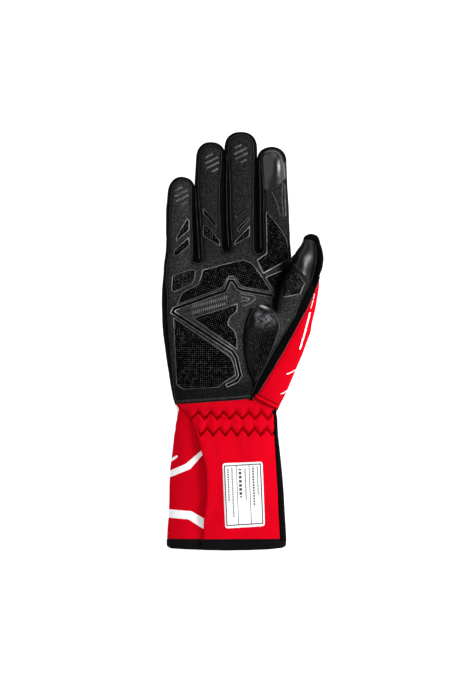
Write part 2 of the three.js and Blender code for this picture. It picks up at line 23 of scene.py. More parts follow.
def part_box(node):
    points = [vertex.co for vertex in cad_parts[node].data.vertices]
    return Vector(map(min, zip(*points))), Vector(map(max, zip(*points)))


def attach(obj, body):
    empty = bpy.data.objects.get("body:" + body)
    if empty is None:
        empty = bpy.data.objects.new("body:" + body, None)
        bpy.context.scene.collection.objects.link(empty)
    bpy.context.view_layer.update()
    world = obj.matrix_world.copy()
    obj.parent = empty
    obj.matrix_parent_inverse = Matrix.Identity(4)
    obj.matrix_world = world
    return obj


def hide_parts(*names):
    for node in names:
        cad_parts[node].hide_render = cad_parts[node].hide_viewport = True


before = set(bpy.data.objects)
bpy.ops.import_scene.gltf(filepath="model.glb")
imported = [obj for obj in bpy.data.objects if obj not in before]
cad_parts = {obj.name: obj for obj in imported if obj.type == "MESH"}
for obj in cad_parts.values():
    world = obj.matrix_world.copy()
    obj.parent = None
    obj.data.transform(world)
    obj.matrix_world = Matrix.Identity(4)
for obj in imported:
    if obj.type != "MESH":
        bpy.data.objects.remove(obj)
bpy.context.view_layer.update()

LOG = logging.getLogger("glove")
BODY = "root"
MM = 0.001

# The upper grip's lowest X and Y in the hand frame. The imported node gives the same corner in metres.
GRIP_CORNER = (-38.6, 189.6)

# Driving dimensions, in millimetres
WALL = 1.3
GAP = 0.3
PRINT_HEIGHT = 0.8
PAD_HEIGHT = 1.6
RIM_WIDTH = 0.8
FRAME_WIDTH = 2.6
WELT_HEIGHT = 1.7
WELT_WIDTH = 3.0
HEM_OUT = 0.25
HEM_TOP = 10.3
SIDE_BAND = 4.5
SIDE_BAND_TAPER = 1.7
SIDE_BAND_LOW = 5.0
FOLD_LIFT = 2.0
LABEL_HEIGHT = 0.5
FINGER_FRONT_INSET = 2.4
FINGER_BACK_INSET = 1.2
FINGER_FRONT_RISE = 1.5
FAR = 200.0
HULL_CELL = 0.9
PATCH_CELL = 0.5
THIN_CELL = 0.4
SNAP_SHARE = 0.12
CUFF_CELL = 0.52
FLOOR_SKIN = 0.05
SHARP_ANGLE = math.radians(52)
CUFF_MIDDLE = (0.0, 0.0, 11.0)
HALF_WAY = 60.0
WRIST_HEIGHT = 112.0
MID_HEIGHT = 12.0
PROUD = 0.12
PANEL_CORNER = 5.0
PATCH_CORNER = 4.0

Array = np.ndarray
Outline = Sequence[tuple[float, float]]
Row = dict[str, float]
Sockets = dict[str, tuple[str, object]]
DepthField = Callable[[Array], Array]
HeightField = Callable[[Array, Array], Array]


def signed_power(value: Array, exponent: float | Array) -> Array:
    """Raises the size of a value to a power and keeps its sign."""
    return np.sign(value) * np.abs(value) ** exponent


def ease(value: Array, low: float, high: float) -> Array:
    """Goes smoothly from 0 at low to 1 at high."""
    share = np.clip((np.asarray(value, float) - low) / (high - low), 0.0, 1.0)
    return share * share * (3.0 - 2.0 * share)


def bump(value: Array, width: float) -> Array:
    """A rounded ridge of height 1 about nought."""
    return np.exp(-((np.asarray(value, float) / width) ** 2))


@dataclass(frozen=True)
class Table:
    """Rows of numbers with named columns, read on smooth lines along the first column.

    Attributes:
        names: the columns' names.
        rows: the rows, ordered by their first number.
    """

    names: tuple[str, ...]
    rows: tuple[tuple[float, ...], ...]

    def at(self, place: Array | float) -> dict[str, Array]:
        """Reads every column at some places.

        Args:
            place: values of the first column.

        Returns:
            Each column's value at each place, by name.
        """
        values = np.array(self.rows, float)
        knots = values[:, 0]
        place = np.clip(np.asarray(place, float), knots[0], knots[-1])
        before = np.clip(np.searchsorted(knots, place, side="right") - 1, 0, len(knots) - 2)
        step = (knots[1:] - knots[:-1])[before]
        share = (place - knots[before]) / step
        read = {self.names[0]: place}
        for name, line in zip(self.names[1:], values[:, 1:].T):
            slope = self._slopes(knots, line)
            rise = line[before + 1] - line[before]
            curve = share * share * (3.0 - 2.0 * share) * rise
            curve += step * share * (1.0 - share) ** 2 * slope[before]
            curve -= step * share**2 * (1.0 - share) * slope[before + 1]
            read[name] = line[before] + curve
        return read

    @staticmethod
    def _slopes(knots: Array, line: Array) -> Array:
        """Slopes at the rows that never overshoot their neighbours.

        Args:
            knots: the rows' places.
            line: a column's values there.

        Returns:
            The slopes.
        """
        rise = np.diff(line) / np.diff(knots)
        product = rise[:-1] * rise[1:]
        total = rise[:-1] + rise[1:]
        middle = np.where(product > 0.0, 2.0 * product / np.where(total == 0.0, 1.0, total), 0.0)
        return np.concatenate([rise[:1], middle, rise[-1:]])


def line_at(line: Outline, place: Array | float, along: int = 1) -> Array:
    """Reads an open line by X, where along is 0, or by Y, and gives its other coordinate."""
    points = np.array(line, float)
    return np.interp(place, points[:, along], points[:, 1 - along])


def rounded(outline: Outline, radius: float = 1.3) -> Array:
    """Rounds the corners of a closed outline.

    Args:
        outline: the sharp corners.
        radius: how far from each corner its arc starts, at most.

    Returns:
        The points of the rounded outline.
    """
    sharp = np.array(outline, float)
    points = []
    for before, corner, after in zip(np.roll(sharp, 1, axis=0), sharp, np.roll(sharp, -1, axis=0)):
        ends = []
        for other in (before, after):
            length = float(np.hypot(*(other - corner)))
            ends.append(corner + min(radius, 0.45 * length) * (other - corner) / length)
        for share in np.linspace(0.0, 1.0, 5):
            start = (1.0 - share) ** 2 * ends[0] + share**2 * ends[1]
            points.append(start + 2.0 * share * (1.0 - share) * corner)
    return np.array(points)


def depth_in(outline: Outline | Array, places: Array) -> Array:
    """How far places lie inside a closed outline, seen from above.

    Args:
        outline: the corners of the outline.
        places: points whose first two numbers are X and Y.

    Returns:
        The distance to the outline, negative outside.
    """
    corners = np.array(outline, float)
    x, y = places[:, 0], places[:, 1]
    nearest = np.full(len(x), np.inf)
    inside = np.zeros(len(x), bool)
    for (ax, ay), (bx, by) in zip(corners, np.roll(corners, -1, axis=0)):
        ux, uy = bx - ax, by - ay
        share = np.clip(((x - ax) * ux + (y - ay) * uy) / max(ux * ux + uy * uy, 1e-12), 0.0, 1.0)
        nearest = np.minimum(nearest, (x - ax - share * ux) ** 2 + (y - ay - share * uy) ** 2)
        if ay != by:
            crosses = (ay > y) != (by > y)
            inside ^= crosses & (x < ax + (y - ay) * ux / uy)
    return np.where(inside, 1.0, -1.0) * np.sqrt(nearest)


def line_gap(line: Outline, places: Array) -> tuple[Array, Array]:
    """The distance to an open line seen from above, and the share of the line passed there.

    Args:
        line: the line's points.
        places: points whose first two numbers are X and Y.

    Returns:
        Both, for each place.
    """
    corners = np.array(line, float)
    lengths = np.hypot(*np.diff(corners, axis=0).T)
    nearest = np.full(len(places), np.inf)
    passed = np.zeros(len(places))
    run = 0.0
    for a, b, length in zip(corners, corners[1:], lengths):
        share = np.clip(((places[:, :2] - a) @ (b - a)) / length**2, 0.0, 1.0)
        gap = np.hypot(*(places[:, :2] - a - share[:, None] * (b - a)).T)
        closer = gap < nearest
        nearest = np.where(closer, gap, nearest)
        passed = np.where(closer, (run + share * length) / lengths.sum(), passed)
        run += length
    return nearest, passed


def ribbon(line: Outline, width: float) -> Array:
    """The outline of a band of even width along an open line.

    Args:
        line: the line's points.
        width: the band's width.

    Returns:
        The right side's points, then the left side's in reverse.
    """
    points = np.array(line, float)
    steps = np.diff(points, axis=0)
    steps /= np.hypot(*steps.T)[:, None]
    before = np.vstack([steps[:1], steps])
    after = np.vstack([steps, steps[-1:]])
    total = before + after
    scale = 1.0 / np.maximum(0.5, (total**2).sum(axis=1) / 2.0)
    across = np.stack([total[:, 1], -total[:, 0]], axis=1) * scale[:, None] * width / 2.0
    return np.vstack([points + across, (points - across)[::-1]])


def spread_noise(points: Array, wavelength: float, seed: float) -> Array:
    """Smooth noise about nought at each point, with bumps of about one wavelength."""
    shift = Vector((seed, -seed, 2.0 * seed))
    return np.array([noise.noise(Vector(point) / wavelength + shift) for point in points])


def uneven(points: Array, *waves: tuple[float, float, float]) -> Array:
    """Noise of several heights, wavelengths and seeds, added up."""
    return sum(height * spread_noise(points, wavelength, seed) for height, wavelength, seed in waves)


@dataclass
class Skin:
    """A surface of triangles.

    Attributes:
        points: places in the hand frame.
        triangles: point numbers, three to a row.
        marks: a whole number for each triangle, which later chooses its material.
    """

    points: Array
    triangles: Array
    marks: Array = field(default_factory=lambda: np.zeros(0, int))

    def __post_init__(self) -> None:
        """Marks every triangle 0 where no marks are given."""
        if len(self.marks) != len(self.triangles):
            self.marks = np.zeros(len(self.triangles), int)

    def normals(self) -> Array:
        """Outward directions at the points, weighted by area.

        Returns:
            A direction of length 1 for each point.
        """
        a, b, c = (self.points[self.triangles[:, i]] for i in range(3))
        facing = np.cross(b - a, c - a)
        total = np.stack([self._gathered(facing[:, axis]) for axis in range(3)], axis=1)
        return total / np.maximum(np.linalg.norm(total, axis=1, keepdims=True), 1e-12)

    def _gathered(self, values: Array) -> Array:
        """Sums the triangles' values at their points."""
        return np.bincount(self.triangles.ravel(), np.repeat(values, 3), len(self.points))

    def _pairs(self) -> Array:
        """Each triangle's three edges, in its own direction."""
        return np.vstack([self.triangles[:, [0, 1]], self.triangles[:, [1, 2]], self.triangles[:, [2, 0]]])

    def edges(self) -> Array:
        """Each edge once, lower point number first."""
        return np.unique(np.sort(self._pairs(), axis=1), axis=0)

    def rim(self) -> Array:
        """Edges with a triangle on one side only.

        Returns:
            Their point numbers, in that triangle's direction.
        """
        pairs = self._pairs()
        _, first, count = np.unique(np.sort(pairs, axis=1), axis=0, return_index=True, return_counts=True)
        return pairs[first[count == 1]]

    def smoothed(self, rounds: int, share: float = 0.5) -> "Skin":
        """Draws each point towards its neighbours' middle. Rims stay.

        Args:
            rounds: how many times.
            share: how much of the way.

        Returns:
            The smoothed surface.
        """
        size = len(self.points)
        a, b = self.edges().T
        count = np.bincount(np.concatenate([a, b]), minlength=size).astype(float)
        free = np.ones(size, bool)
        free[np.unique(self.rim())] = False
        free &= count > 0
        points = self.points.copy()
        for _ in range(rounds):
            sums = [np.bincount(a, line[b], size) + np.bincount(b, line[a], size) for line in points.T]
            middle = np.stack(sums, axis=1)[free] / count[free, None]
            points[free] += share * (middle - points[free])
        return Skin(points, self.triangles, self.marks)

    def divided(self, depth: Array, snap: float = 0.16) -> tuple["Skin", Array]:
        """Cuts triangles along the line where a depth passes through nought.

        Args:
            depth: a value at each point.
            snap: points nearer the line than this become part of it.

        Returns:
            The surface with the line in it, and whether each triangle lies on the deep side.
        """
        depth = np.where(np.abs(depth) < snap, 0.0, depth)
        side = np.sign(depth).astype(int)
        corners = self.triangles
        following = np.roll(corners, -1, axis=1)
        crossed = side[corners] * side[following] < 0
        pairs = np.sort(np.stack([corners[crossed], following[crossed]], axis=1), axis=1)
        unique, inverse = np.unique(pairs, axis=0, return_inverse=True)
        a, b = unique.T
        share = (depth[a] / (depth[a] - depth[b]))[:, None]
        added = self.points[a] + share * (self.points[b] - self.points[a])
        middle = np.full(crossed.shape, -1)
        middle[crossed] = len(self.points) + inverse.ravel()
        count = crossed.sum(axis=1)
        whole = np.flatnonzero(count == 0)
        halved, corner = self._turned(np.flatnonzero(count == 1), crossed, 0, middle)
        cut, tip = self._turned(np.flatnonzero(count == 2), ~crossed, 1, middle)
        pieces = [
            (whole, corners[whole]),
            (halved[0], np.stack([corner[:, 0], halved[1][:, 0], corner[:, 2]], axis=1)),
            (halved[0], np.stack([halved[1][:, 0], corner[:, 1], corner[:, 2]], axis=1)),
            (cut[0], np.stack([tip[:, 0], cut[1][:, 0], cut[1][:, 2]], axis=1)),
            (cut[0], np.stack([cut[1][:, 0], tip[:, 1], tip[:, 2]], axis=1)),
            (cut[0], np.stack([cut[1][:, 0], tip[:, 2], cut[1][:, 2]], axis=1)),
        ]
        triangles = np.vstack([corners for _, corners in pieces])
        parents = np.concatenate([parents for parents, _ in pieces])
        made = Skin(np.vstack([self.points, added]), triangles, self.marks[parents])
        values = np.concatenate([depth, np.zeros(len(added))])
        return made, values[triangles].sum(axis=1) > 0

    def _turned(
        self, chosen: Array, flags: Array, wanted: int, middle: Array
    ) -> tuple[tuple[Array, Array], Array]:
        """Turns triangles so that their flagged edge is the wanted one.

        Args:
            chosen: triangle numbers.
            flags: for each triangle's edges, whether it is the one to place.
            wanted: the edge number that the flagged edge gets.
            middle: the points cut into each triangle's edges.

        Returns:
            The triangle numbers with their turned cut points, and their turned corners.
        """
        shift = np.argmax(flags[chosen], axis=1) - wanted
        order = (np.arange(3) + shift[:, None]) % 3
        rows = chosen[:, None]
        return (chosen, middle[rows, order]), self.triangles[rows, order]

    def kept(self, chosen: Array) -> "Skin":
        """The chosen triangles with only their own points."""
        used, inverse = np.unique(self.triangles[chosen], return_inverse=True)
        return Skin(self.points[used], inverse.reshape(-1, 3), self.marks[chosen])

    def closed_with(self, under: Array) -> "Skin":
        """Closes the surface with the same surface at other places, and a rim between the two.

        Args:
            under: the other places of its points.

        Returns:
            The closed surface.
        """
        count = len(self.points)
        a, b = self.rim().T
        sides = np.vstack([np.stack([b, a, a + count], axis=1), np.stack([b, a + count, b + count], axis=1)])
        triangles = np.vstack([self.triangles, self.triangles[:, ::-1] + count, sides])
        marks = np.concatenate([self.marks, np.zeros(len(self.triangles) + len(sides), int)])
        return Skin(np.vstack([self.points, under]), triangles, marks)

    def thickened(self, thickness: float) -> "Skin":
        """A closed wall that reaches inwards by a thickness.

        Args:
            thickness: how far it reaches in.

        Returns:
            The wall, none of it below the floor.
        """
        under = self.points - self.normals() * thickness
        under[:, 2] = np.maximum(under[:, 2], FLOOR_SKIN)
        return self.closed_with(under)

    def rim_loops(self) -> list[Array]:
        """Point numbers round each closed rim, longest first.

        Returns:
            The point numbers of each rim, in order.
        """
        following = {int(a): int(b) for a, b in self.rim()}
        loops = []
        while following:
            start, point = next(iter(following.items()))
            del following[start]
            loop = [start]
            while point in following:
                loop.append(point)
                point = following.pop(point)
            loops.append(np.array(loop))
        return sorted(loops, key=len, reverse=True)


def grid_skin(grid: Array) -> Skin:
    """A surface through rows of points.

    Args:
        grid: rows, columns and coordinates.

    Returns:
        Its triangles, facing up where X grows along a row and Y from row to row.
    """
    rows, columns = grid.shape[:2]
    number = np.arange(rows * columns).reshape(rows, columns)
    a, b, c, d = number[:-1, :-1], number[:-1, 1:], number[1:, 1:], number[1:, :-1]
    triangles = np.vstack(
        [np.stack([a, b, c], axis=-1).reshape(-1, 3), np.stack([a, c, d], axis=-1).reshape(-1, 3)]
    )
    return Skin(grid.reshape(-1, 3).copy(), triangles)


def loft(rings: Array, first: Array, last: Array) -> Skin:
    """A closed surface through rings of points, with a fan to a point at each end.

    Args:
        rings: rings, their points and coordinates.
        first: the point before the first ring.
        last: the point past the last ring.

    Returns:
        The surface.
    """
    count, sides = rings.shape[:2]
    number = 1 + np.arange(count * sides).reshape(count, sides)
    after = np.roll(number, -1, axis=1)
    end = 1 + count * sides
    start_fan = np.stack([np.zeros(sides, int), number[0], after[0]], axis=1)
    end_fan = np.stack([np.full(sides, end), after[-1], number[-1]], axis=1)
    a, b, c, d = number[:-1], after[:-1], number[1:], after[1:]
    triangles = [start_fan, end_fan]
    triangles.append(np.stack([a, d, b], axis=-1).reshape(-1, 3))
    triangles.append(np.stack([a, c, d], axis=-1).reshape(-1, 3))
    return Skin(np.vstack([first, rings.reshape(-1, 3), last]), np.vstack(triangles))


def joined(skins: Sequence[Skin]) -> Skin:
    """Makes one surface of several.

    Args:
        skins: the surfaces.

    Returns:
        All of their triangles, in order.
    """
    starts = np.cumsum([0] + [len(skin.points) for skin in skins])
    points = np.vstack([skin.points for skin in skins])
    triangles = np.vstack([skin.triangles + start for skin, start in zip(skins, starts)])
    return Skin(points, triangles, np.concatenate([skin.marks for skin in skins]))


def outward_skin(grid: Array) -> Skin:
    """A surface through a grid round the cuff.

    Args:
        grid: rows, columns and coordinates.

    Returns:
        The surface, turned to face outwards.
    """
    skin = grid_skin(grid)
    away = (skin.points - CUFF_MIDDLE) * (1.0, 0.0, 1.0)
    if (skin.normals() * away).sum() < 0.0:
        skin.triangles = skin.triangles[:, ::-1].copy()
    return skin


def drawn_in(corners: Outline, inset: float) -> Array:
    """Moves each corner towards the middle by an inset on both axes."""
    sharp = np.array(corners, float)
    return sharp + inset * np.sign(sharp.mean(axis=0) - sharp)


def resampled(outline: Array, step: float, closed: bool = True) -> Array:
    """Evenly spaced points on a line seen from above.

    Args:
        outline: the line's own points.
        step: the distance between the new ones.
        closed: whether the line joins up with itself.

    Returns:
        The new points.
    """
    points = np.vstack([outline, outline[:1]]) if closed else np.array(outline, float)
    run = np.concatenate([[0.0], np.cumsum(np.hypot(*np.diff(points, axis=0).T))])
    places = np.arange(0.0, run[-1], step)
    return np.stack([np.interp(places, run, points[:, axis]) for axis in range(2)], axis=1)


def row_origin() -> Array:
    """The row frame's origin in the hand frame, from one grip's corner."""
    low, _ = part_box("grip_upper")
    return np.array([GRIP_CORNER[0] - low.x / MM, GRIP_CORNER[1] - low.y / MM, 0.0])


ORIGIN = row_origin()


def added(name: str, data: object) -> Object:
    """Puts an object into the scene.

    Args:
        name: its name.
        data: its mesh, lamp or camera.

    Returns:
        The object.
    """
    made = bpy.data.objects.new(name, data)
    bpy.context.scene.collection.objects.link(made)
    return made


def mesh_object(name: str, skin: Skin, materials: Sequence[Material], painted_shading: Array | None = None) -> Object:
    """Makes a Blender object of a surface.

    Args:
        name: the object's name.
        skin: the surface, in millimetres in the hand frame.
        materials: what the triangles' marks choose from.
        painted_shading: how light each point is painted, from 1 down to 0, and how dark its painted shade
            is, down to -1.

    Returns:
        The object, at the origin, with its place in its mesh.
    """
    mesh = bpy.data.meshes.new(name)
    mesh.from_pydata(((skin.points - ORIGIN) * MM).tolist(), [], skin.triangles.tolist())
    for material in materials:
        mesh.materials.append(material)
    mesh.polygons.foreach_set("material_index", np.minimum(skin.marks, len(materials) - 1).astype(np.int32))
    mesh.shade_smooth()
    mesh.set_sharp_from_angle(angle=SHARP_ANGLE)
    made = added(name, mesh)
    # Painted light and shade are kept as a point attribute.
    if painted_shading is not None:
        set_values(made, "painted_shading", painted_shading)
    return made


def set_values(piece: Object, name: str, values: Array) -> None:
    """Stores a number for each point of a piece."""
    layer = piece.data.attributes.new(name, "FLOAT", "POINT")
    layer.data.foreach_set("value", np.asarray(values, np.float32))


def settle(piece: Object) -> None:
    """Turns what an object's modifiers make into its own plain mesh.

    Args:
        piece: the object.
    """
    bpy.context.view_layer.update()
    graph = bpy.context.evaluated_depsgraph_get()
    made = bpy.data.meshes.new_from_object(piece.evaluated_get(graph))
    piece.modifiers.clear()
    old = piece.data
    piece.data = made
    bpy.data.meshes.remove(old)


def publish(piece: Object, slot: str, *nodes: str) -> None:
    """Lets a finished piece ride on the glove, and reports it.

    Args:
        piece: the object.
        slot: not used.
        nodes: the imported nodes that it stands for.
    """
    if nodes:
        piece.name = f"{nodes[0]}_dressed"
        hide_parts(*nodes)
    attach(piece, BODY)
    LOG.info("%s: %d faces", piece.name, len(piece.data.polygons))


def publish_wall(
    name: str, skin: Skin, slot: str, materials: Sequence[Material], shade: Array | None = None,
    wall: float = WALL,
) -> None:
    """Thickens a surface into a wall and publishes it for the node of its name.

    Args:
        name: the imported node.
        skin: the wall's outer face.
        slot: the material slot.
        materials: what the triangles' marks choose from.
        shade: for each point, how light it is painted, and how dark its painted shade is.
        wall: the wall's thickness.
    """
    painted_shading = None if shade is None else np.tile(shade, 2)
    publish(mesh_object(name, skin.thickened(wall), materials, painted_shading), slot, name)


# Cuff, wrist and palm, from the hem up to the webs between the fingers.
# squeeze is the share of the thickness kept, arch the share of the curve of the webs in the row.
TRUNK = Table(
    ("y", "left", "right", "top", "power", "squeeze", "arch"),
    (
        (-5, -45.9, 45.9, 24, 2.2, 1, 0),
        (8.5, -45.8, 45.6, 24.5, 2.2, 1, 0),
        (40, -44.4, 43.9, 25.5, 2.2, 1, 0),
        (63, -43.2, 42, 26, 2.3, 1, 0),
        (78.5, -41.3, 40.5, 25.6, 2.3, 1, 0),
        (92, -40, 39.2, 24.6, 2.4, 1, 0),
        (107, -38.3, 38.6, 24.4, 2.5, 1, 0),
        (114, -40.2, 41.4, 26, 2.6, 1, 0),
        (137, -44.4, 46.8, 28, 2.7, 1, 0),
        (158, -47.3, 48.8, 28.5, 2.7, 1, 0),
        (179, -49.6, 49.7, 28, 2.7, 1, 0),
        (196, -49.7, 49.7, 26.2, 2.7, 1, 0),
        (212, -49.2, 49.9, 23.6, 2.7, 1, 0.3),
        (229, -47.4, 49.2, 21, 2.7, 1, 1),
        (232.4, -46.4, 48.2, 21, 2.7, 0.8, 1),
        (234.2, -45, 47, 21, 2.7, 0.4, 1),
    ),
)
TRUNK_DOWN = 0.62

# Where the hull's trunk starts, where its rows grow closer, and where it ends
TRUNK_ROWS = (99.0, 226.0, 234.3)
TRUNK_SIDES = 200
ARCH_CENTRE = 8.0
ARCH_CURVE = 0.009
ARCH_LIMIT = 9.0


def trunk_points(y: Array | float, angle: Array, offset: float = 0.0) -> Array:
    """Points of the trunk's section. The floor cuts it off flat.

    Args:
        y: places along the glove.
        angle: directions round the section, from the thumb's side over the palm.
        offset: how far outside the glove's face the points lie.

    Returns:
        The points, with coordinates last.
    """
    row = TRUNK.at(y)
    height = signed_power(np.sin(angle), 2.0 / row["power"])
    reach = row["squeeze"] * row["top"] * np.where(height > 0.0, 0.5, TRUNK_DOWN) + offset
    half_width = (row["right"] - row["left"]) / 2.0 + offset
    x = (row["left"] + row["right"]) / 2.0 + half_width * signed_power(np.cos(angle), 2.0 / row["power"])
    back = np.minimum(ARCH_LIMIT, ARCH_CURVE * (x - ARCH_CENTRE) ** 2)
    z = np.maximum(row["top"] / 2.0 + height * reach, 0.0)
    return np.stack(np.broadcast_arrays(x, row["y"] + row["arch"] * (offset - back), z), axis=-1)


@dataclass(frozen=True)
class Digit:
    """A finger or the thumb: sections along it and a domed tip.

    Attributes:
        tip: the dome's height.
        pushed: how far it is held aside while the hull forms.
        sections: y, x, half width, z, half thickness and lean of each section.
        power: how square its section is.
        parts: Y from which it is held aside.
    """

    tip: float
    pushed: float
    sections: tuple[tuple[float, ...], ...]
    power: float = 2.3
    parts: float = 229.0

    COLUMNS = ("y", "x", "half_width", "z", "half_thick", "lean")
    DOME = (8, 16, 24, 32, 40, 48, 56, 64, 71, 77, 82, 86)
    TIP_SHARE = 2.0 / 2.3
    TIP_RISE = 0.1
    EASE = 0.45

    @property
    def table(self) -> Table:
        """Its sections as a table."""
        return Table(self.COLUMNS, self.sections)

    @property
    def last(self) -> Row:
        """The last section before the dome."""
        return dict(zip(self.COLUMNS, self.sections[-1]))

    @property
    def front_low(self) -> float:
        """Z of its suede front's lower edge."""
        return self.sections[1][3] + FINGER_FRONT_RISE

    def held(self, y: Array) -> Array:
        """How far it is held aside at each Y while the hull forms."""
        return self.pushed * ease(y, self.parts, self.parts + PUSH_REACH)

    def reach(self, height: float) -> Array:
        """A point on the axis.

        Args:
            height: how far it is past the last section.

        Returns:
            The point.
        """
        last = self.last
        lean = math.radians(last["lean"])
        ahead = np.array([math.sin(lean), math.cos(lean), self.TIP_RISE])
        return np.array([last["x"], last["y"], last["z"]]) + height * ahead

    def surface(self, sides: int = 64, step: float = 1.5) -> Skin:
        """The closed surface of the whole digit.

        Args:
            sides: points round a section.
            step: the distance between sections.

        Returns:
            The surface, with a dome at the tip.
        """
        end = self.last["y"]
        body = self.table.at(np.append(np.arange(self.sections[0][0], end, step), end))
        rings = [self._ring(dict(zip(body, row)), 1.0, sides) for row in zip(*body.values())]
        for degrees in self.DOME:
            angle = math.radians(degrees)
            x, y, z = self.reach(self.tip * math.sin(angle) ** self.TIP_SHARE)
            share = math.cos(angle) ** self.TIP_SHARE
            rings.append(self._ring({**self.last, "x": x, "y": y, "z": z}, share, sides))
        first = np.array([body["x"][0], body["y"][0], body["z"][0]])
        return loft(np.array(rings), first, self.reach(self.tip + self.EASE))

    def _ring(self, row: Row, share: float, sides: int) -> Array:
        """One section.

        Args:
            row: its place and sizes.
            share: how much of its size is kept.
            sides: points round it.

        Returns:
            Its points.
        """
        angle = 2.0 * math.pi * np.arange(sides) / sides
        across = (row["half_width"] + self.EASE) * share * signed_power(np.cos(angle), 2.0 / self.power)
        height = (row["half_thick"] + self.EASE) * share * signed_power(np.sin(angle), 2.0 / self.power)
        lean = math.radians(row["lean"])
        z = np.maximum(row["z"] + height, 0.0)
        return np.stack([row["x"] + across * math.cos(lean), row["y"] - across * math.sin(lean), z], axis=1)

    def outline(self, inset: float, first_row: int = 0) -> Array:
        """The digit seen from above.

        Args:
            inset: how far it is drawn in.
            first_row: the section that it starts at.

        Returns:
            The outline's points, anticlockwise.
        """
        kept = [dict(zip(self.COLUMNS, row)) for row in self.sections[first_row:]]
        last = kept[-1]
        points = [self._beside(row, row["half_width"] - inset, 0.0) for row in kept]
        for degrees in range(10, 180, 10):
            angle = math.radians(degrees)
            across = (last["half_width"] - inset) * float(signed_power(math.cos(angle), self.TIP_SHARE))
            points.append(self._beside(last, across, (self.tip - inset) * math.sin(angle) ** self.TIP_SHARE))
        points += [self._beside(row, inset - row["half_width"], 0.0) for row in reversed(kept)]
        return np.array(points)

    @staticmethod
    def _beside(row: Row, across: float, ahead: float) -> tuple[float, float]:
        """A point some way across and ahead of a section's middle."""
        cos, sin = math.cos(math.radians(row["lean"])), math.sin(math.radians(row["lean"]))
        return row["x"] + across * cos + ahead * sin, row["y"] - across * sin + ahead * cos


DIGITS = {
    "pinky": Digit(13, -6, (
        (204, -37.4, 10.6, 10.6, 8.6, 0), (221, -36.4, 11.5, 10.6, 9.2, 0), (233, -35.1, 11.3, 10.6, 9.2, 0),
        (256, -35.4, 10.9, 11.4, 9, 0), (276, -34.6, 10.4, 12.8, 8.6, 7),
    )),
    "ring": Digit(13.2, -2, (
        (206, -11.6, 10.4, 10.8, 8.8, 0), (232.5, -12.2, 11.5, 11, 9.5, 0), (268, -13.2, 11.5, 12, 9.3, 0),
        (302.5, -12.1, 11.1, 14.2, 8.8, 6),
    )),
    "middle": Digit(13.6, 2, (
        (206, 11.2, 11.6, 10.8, 9.2, 0), (232.5, 11.4, 12.4, 11, 9.8, 0), (272, 10.9, 12.5, 12.2, 9.6, 0),
        (310, 11, 12.2, 14.8, 9.1, 0),
    )),
    "index": Digit(12.7, 6, (
        (204, 37.6, 11.2, 10.8, 9, 0), (221, 37.9, 12.3, 10.8, 9.6, 0), (233, 36.7, 12.5, 11, 9.6, 0),
        (270, 35.4, 12.1, 12.2, 9.4, 0), (299.5, 34.8, 11.2, 14.2, 8.8, 0),
    )),
    "thumb": Digit(7.2, 9, (
        (108, 27, 9, 11, 9, 0), (117, 29.6, 13, 14, 12.2, 0), (141, 32, 21, 17, 15.4, 0),
        (155.5, 34.9, 24.2, 18.5, 15.8, 0), (168.5, 38.4, 25.2, 20, 15.2, 2),
        (178, 43.6, 21.6, 20.8, 14.4, 5), (186, 51.4, 15.8, 21.4, 13.6, 8),
        (198.5, 55.4, 14.2, 22, 12.4, 11), (215, 59.6, 12.5, 23, 11, 12), (226, 62.7, 11.4, 23.6, 10, 8),
        (232, 64.2, 9.6, 23.2, 8.8, 4), (237.6, 65, 6.6, 22.8, 7, 0),
    ), power=2.2, parts=218),
}
FINGERS = ("pinky", "ring", "middle", "index")
THUMB_LEAVES = 4
PUSH_REACH = 14.0

# Seam between hand and cuff, from the little finger's side to the thumb's.
WRIST_SEAM = ((-FAR, 113.6), (-40, 114), (2.7, 116.7), (21.6, 118.6), (41.4, 108.6), (FAR, 108.6))

# Free edge of the front cuff panel, from the hem to the wrist, and the end of the panel under it.
FOLD = (
    (-17.8, -10), (-17.7, 14), (-17.3, 24), (-16.4, 32), (-15.4, 40), (-15, 50), (-15.4, 63), (-17, 71),
    (-19.2, 78), (-21, 85), (-23.1, 93.2), (-25.9, 99.3), (-33.5, 108.6), (-38, 114),
)
UNDER_FOLD = (
    (-8.3, -10), (-8.3, 40), (-9.1, 63), (-10.9, 78.5), (-13.5, 86), (-19.9, 91.5), (-26.4, 99.3),
    (-34, 108.6), (-38.5, 114),
)

# Lower edge of the hem binding, which hangs lowest at mid width.
HEM_LINE = (
    (-60, 4.4), (-46, 4.2), (-43.5, 2.8), (-34, 2.3), (-17, 1.7), (0, 1.4), (17, 1.6), (34, 2.2),
    (43.5, 3.2), (46, 4.4), (60, 4.4),
)

PALM_FRONT = (
    (-45.2, 222), (-45.4, 202), (-45, 178.6), (-42.4, 148), (-39.4, 119), (-39.6, 104), (17.6, 104),
    (18.1, 118), (24.3, 132.4), (36.6, 155.5), (50.4, 178.6), (53, 184), (50, 192), (46.4, 200),
    (46, 220), (45.2, 227.5), (23.8, 229), (-0.5, 230.6), (-24, 222),
)
PALM_FRONT_LOW = 14.0
THUMB_FRONT = (
    (50.4, 178.6), (59.2, 197.9), (63.6, 206), (66.6, 213), (68.2, 220), (69.2, 228), (69.2, 234),
    (67.4, 238.8), (63.4, 240), (57.6, 240.4), (53.4, 234), (48.2, 218), (43.5, 198), (38, 186), (34, 176),
)
THUMB_FRONT_LOW = 21.5
RED_WRAP = (
    (72.2, 214), (70.7, 208.5), (68.3, 202), (62.2, 188), (54.4, 174), (44.4, 155.5), (30.5, 132.4),
    (21.9, 118.2), (21.9, 90), (FAR, 90), (FAR, 214),
)
BACK_TRUNK = (
    (-46.4, 222), (-48.2, 202), (-48, 179), (-45.8, 158), (-42.8, 137), (-40.8, 123), (-38.8, 112),
    (-38, 90), (FAR, 90), (FAR, 215), (66, 215), (50, 213), (48, 222), (47.4, 228.5), (23.8, 230),
    (-0.5, 231.6), (-24, 223),
)
BACK_HIGH = 10.5

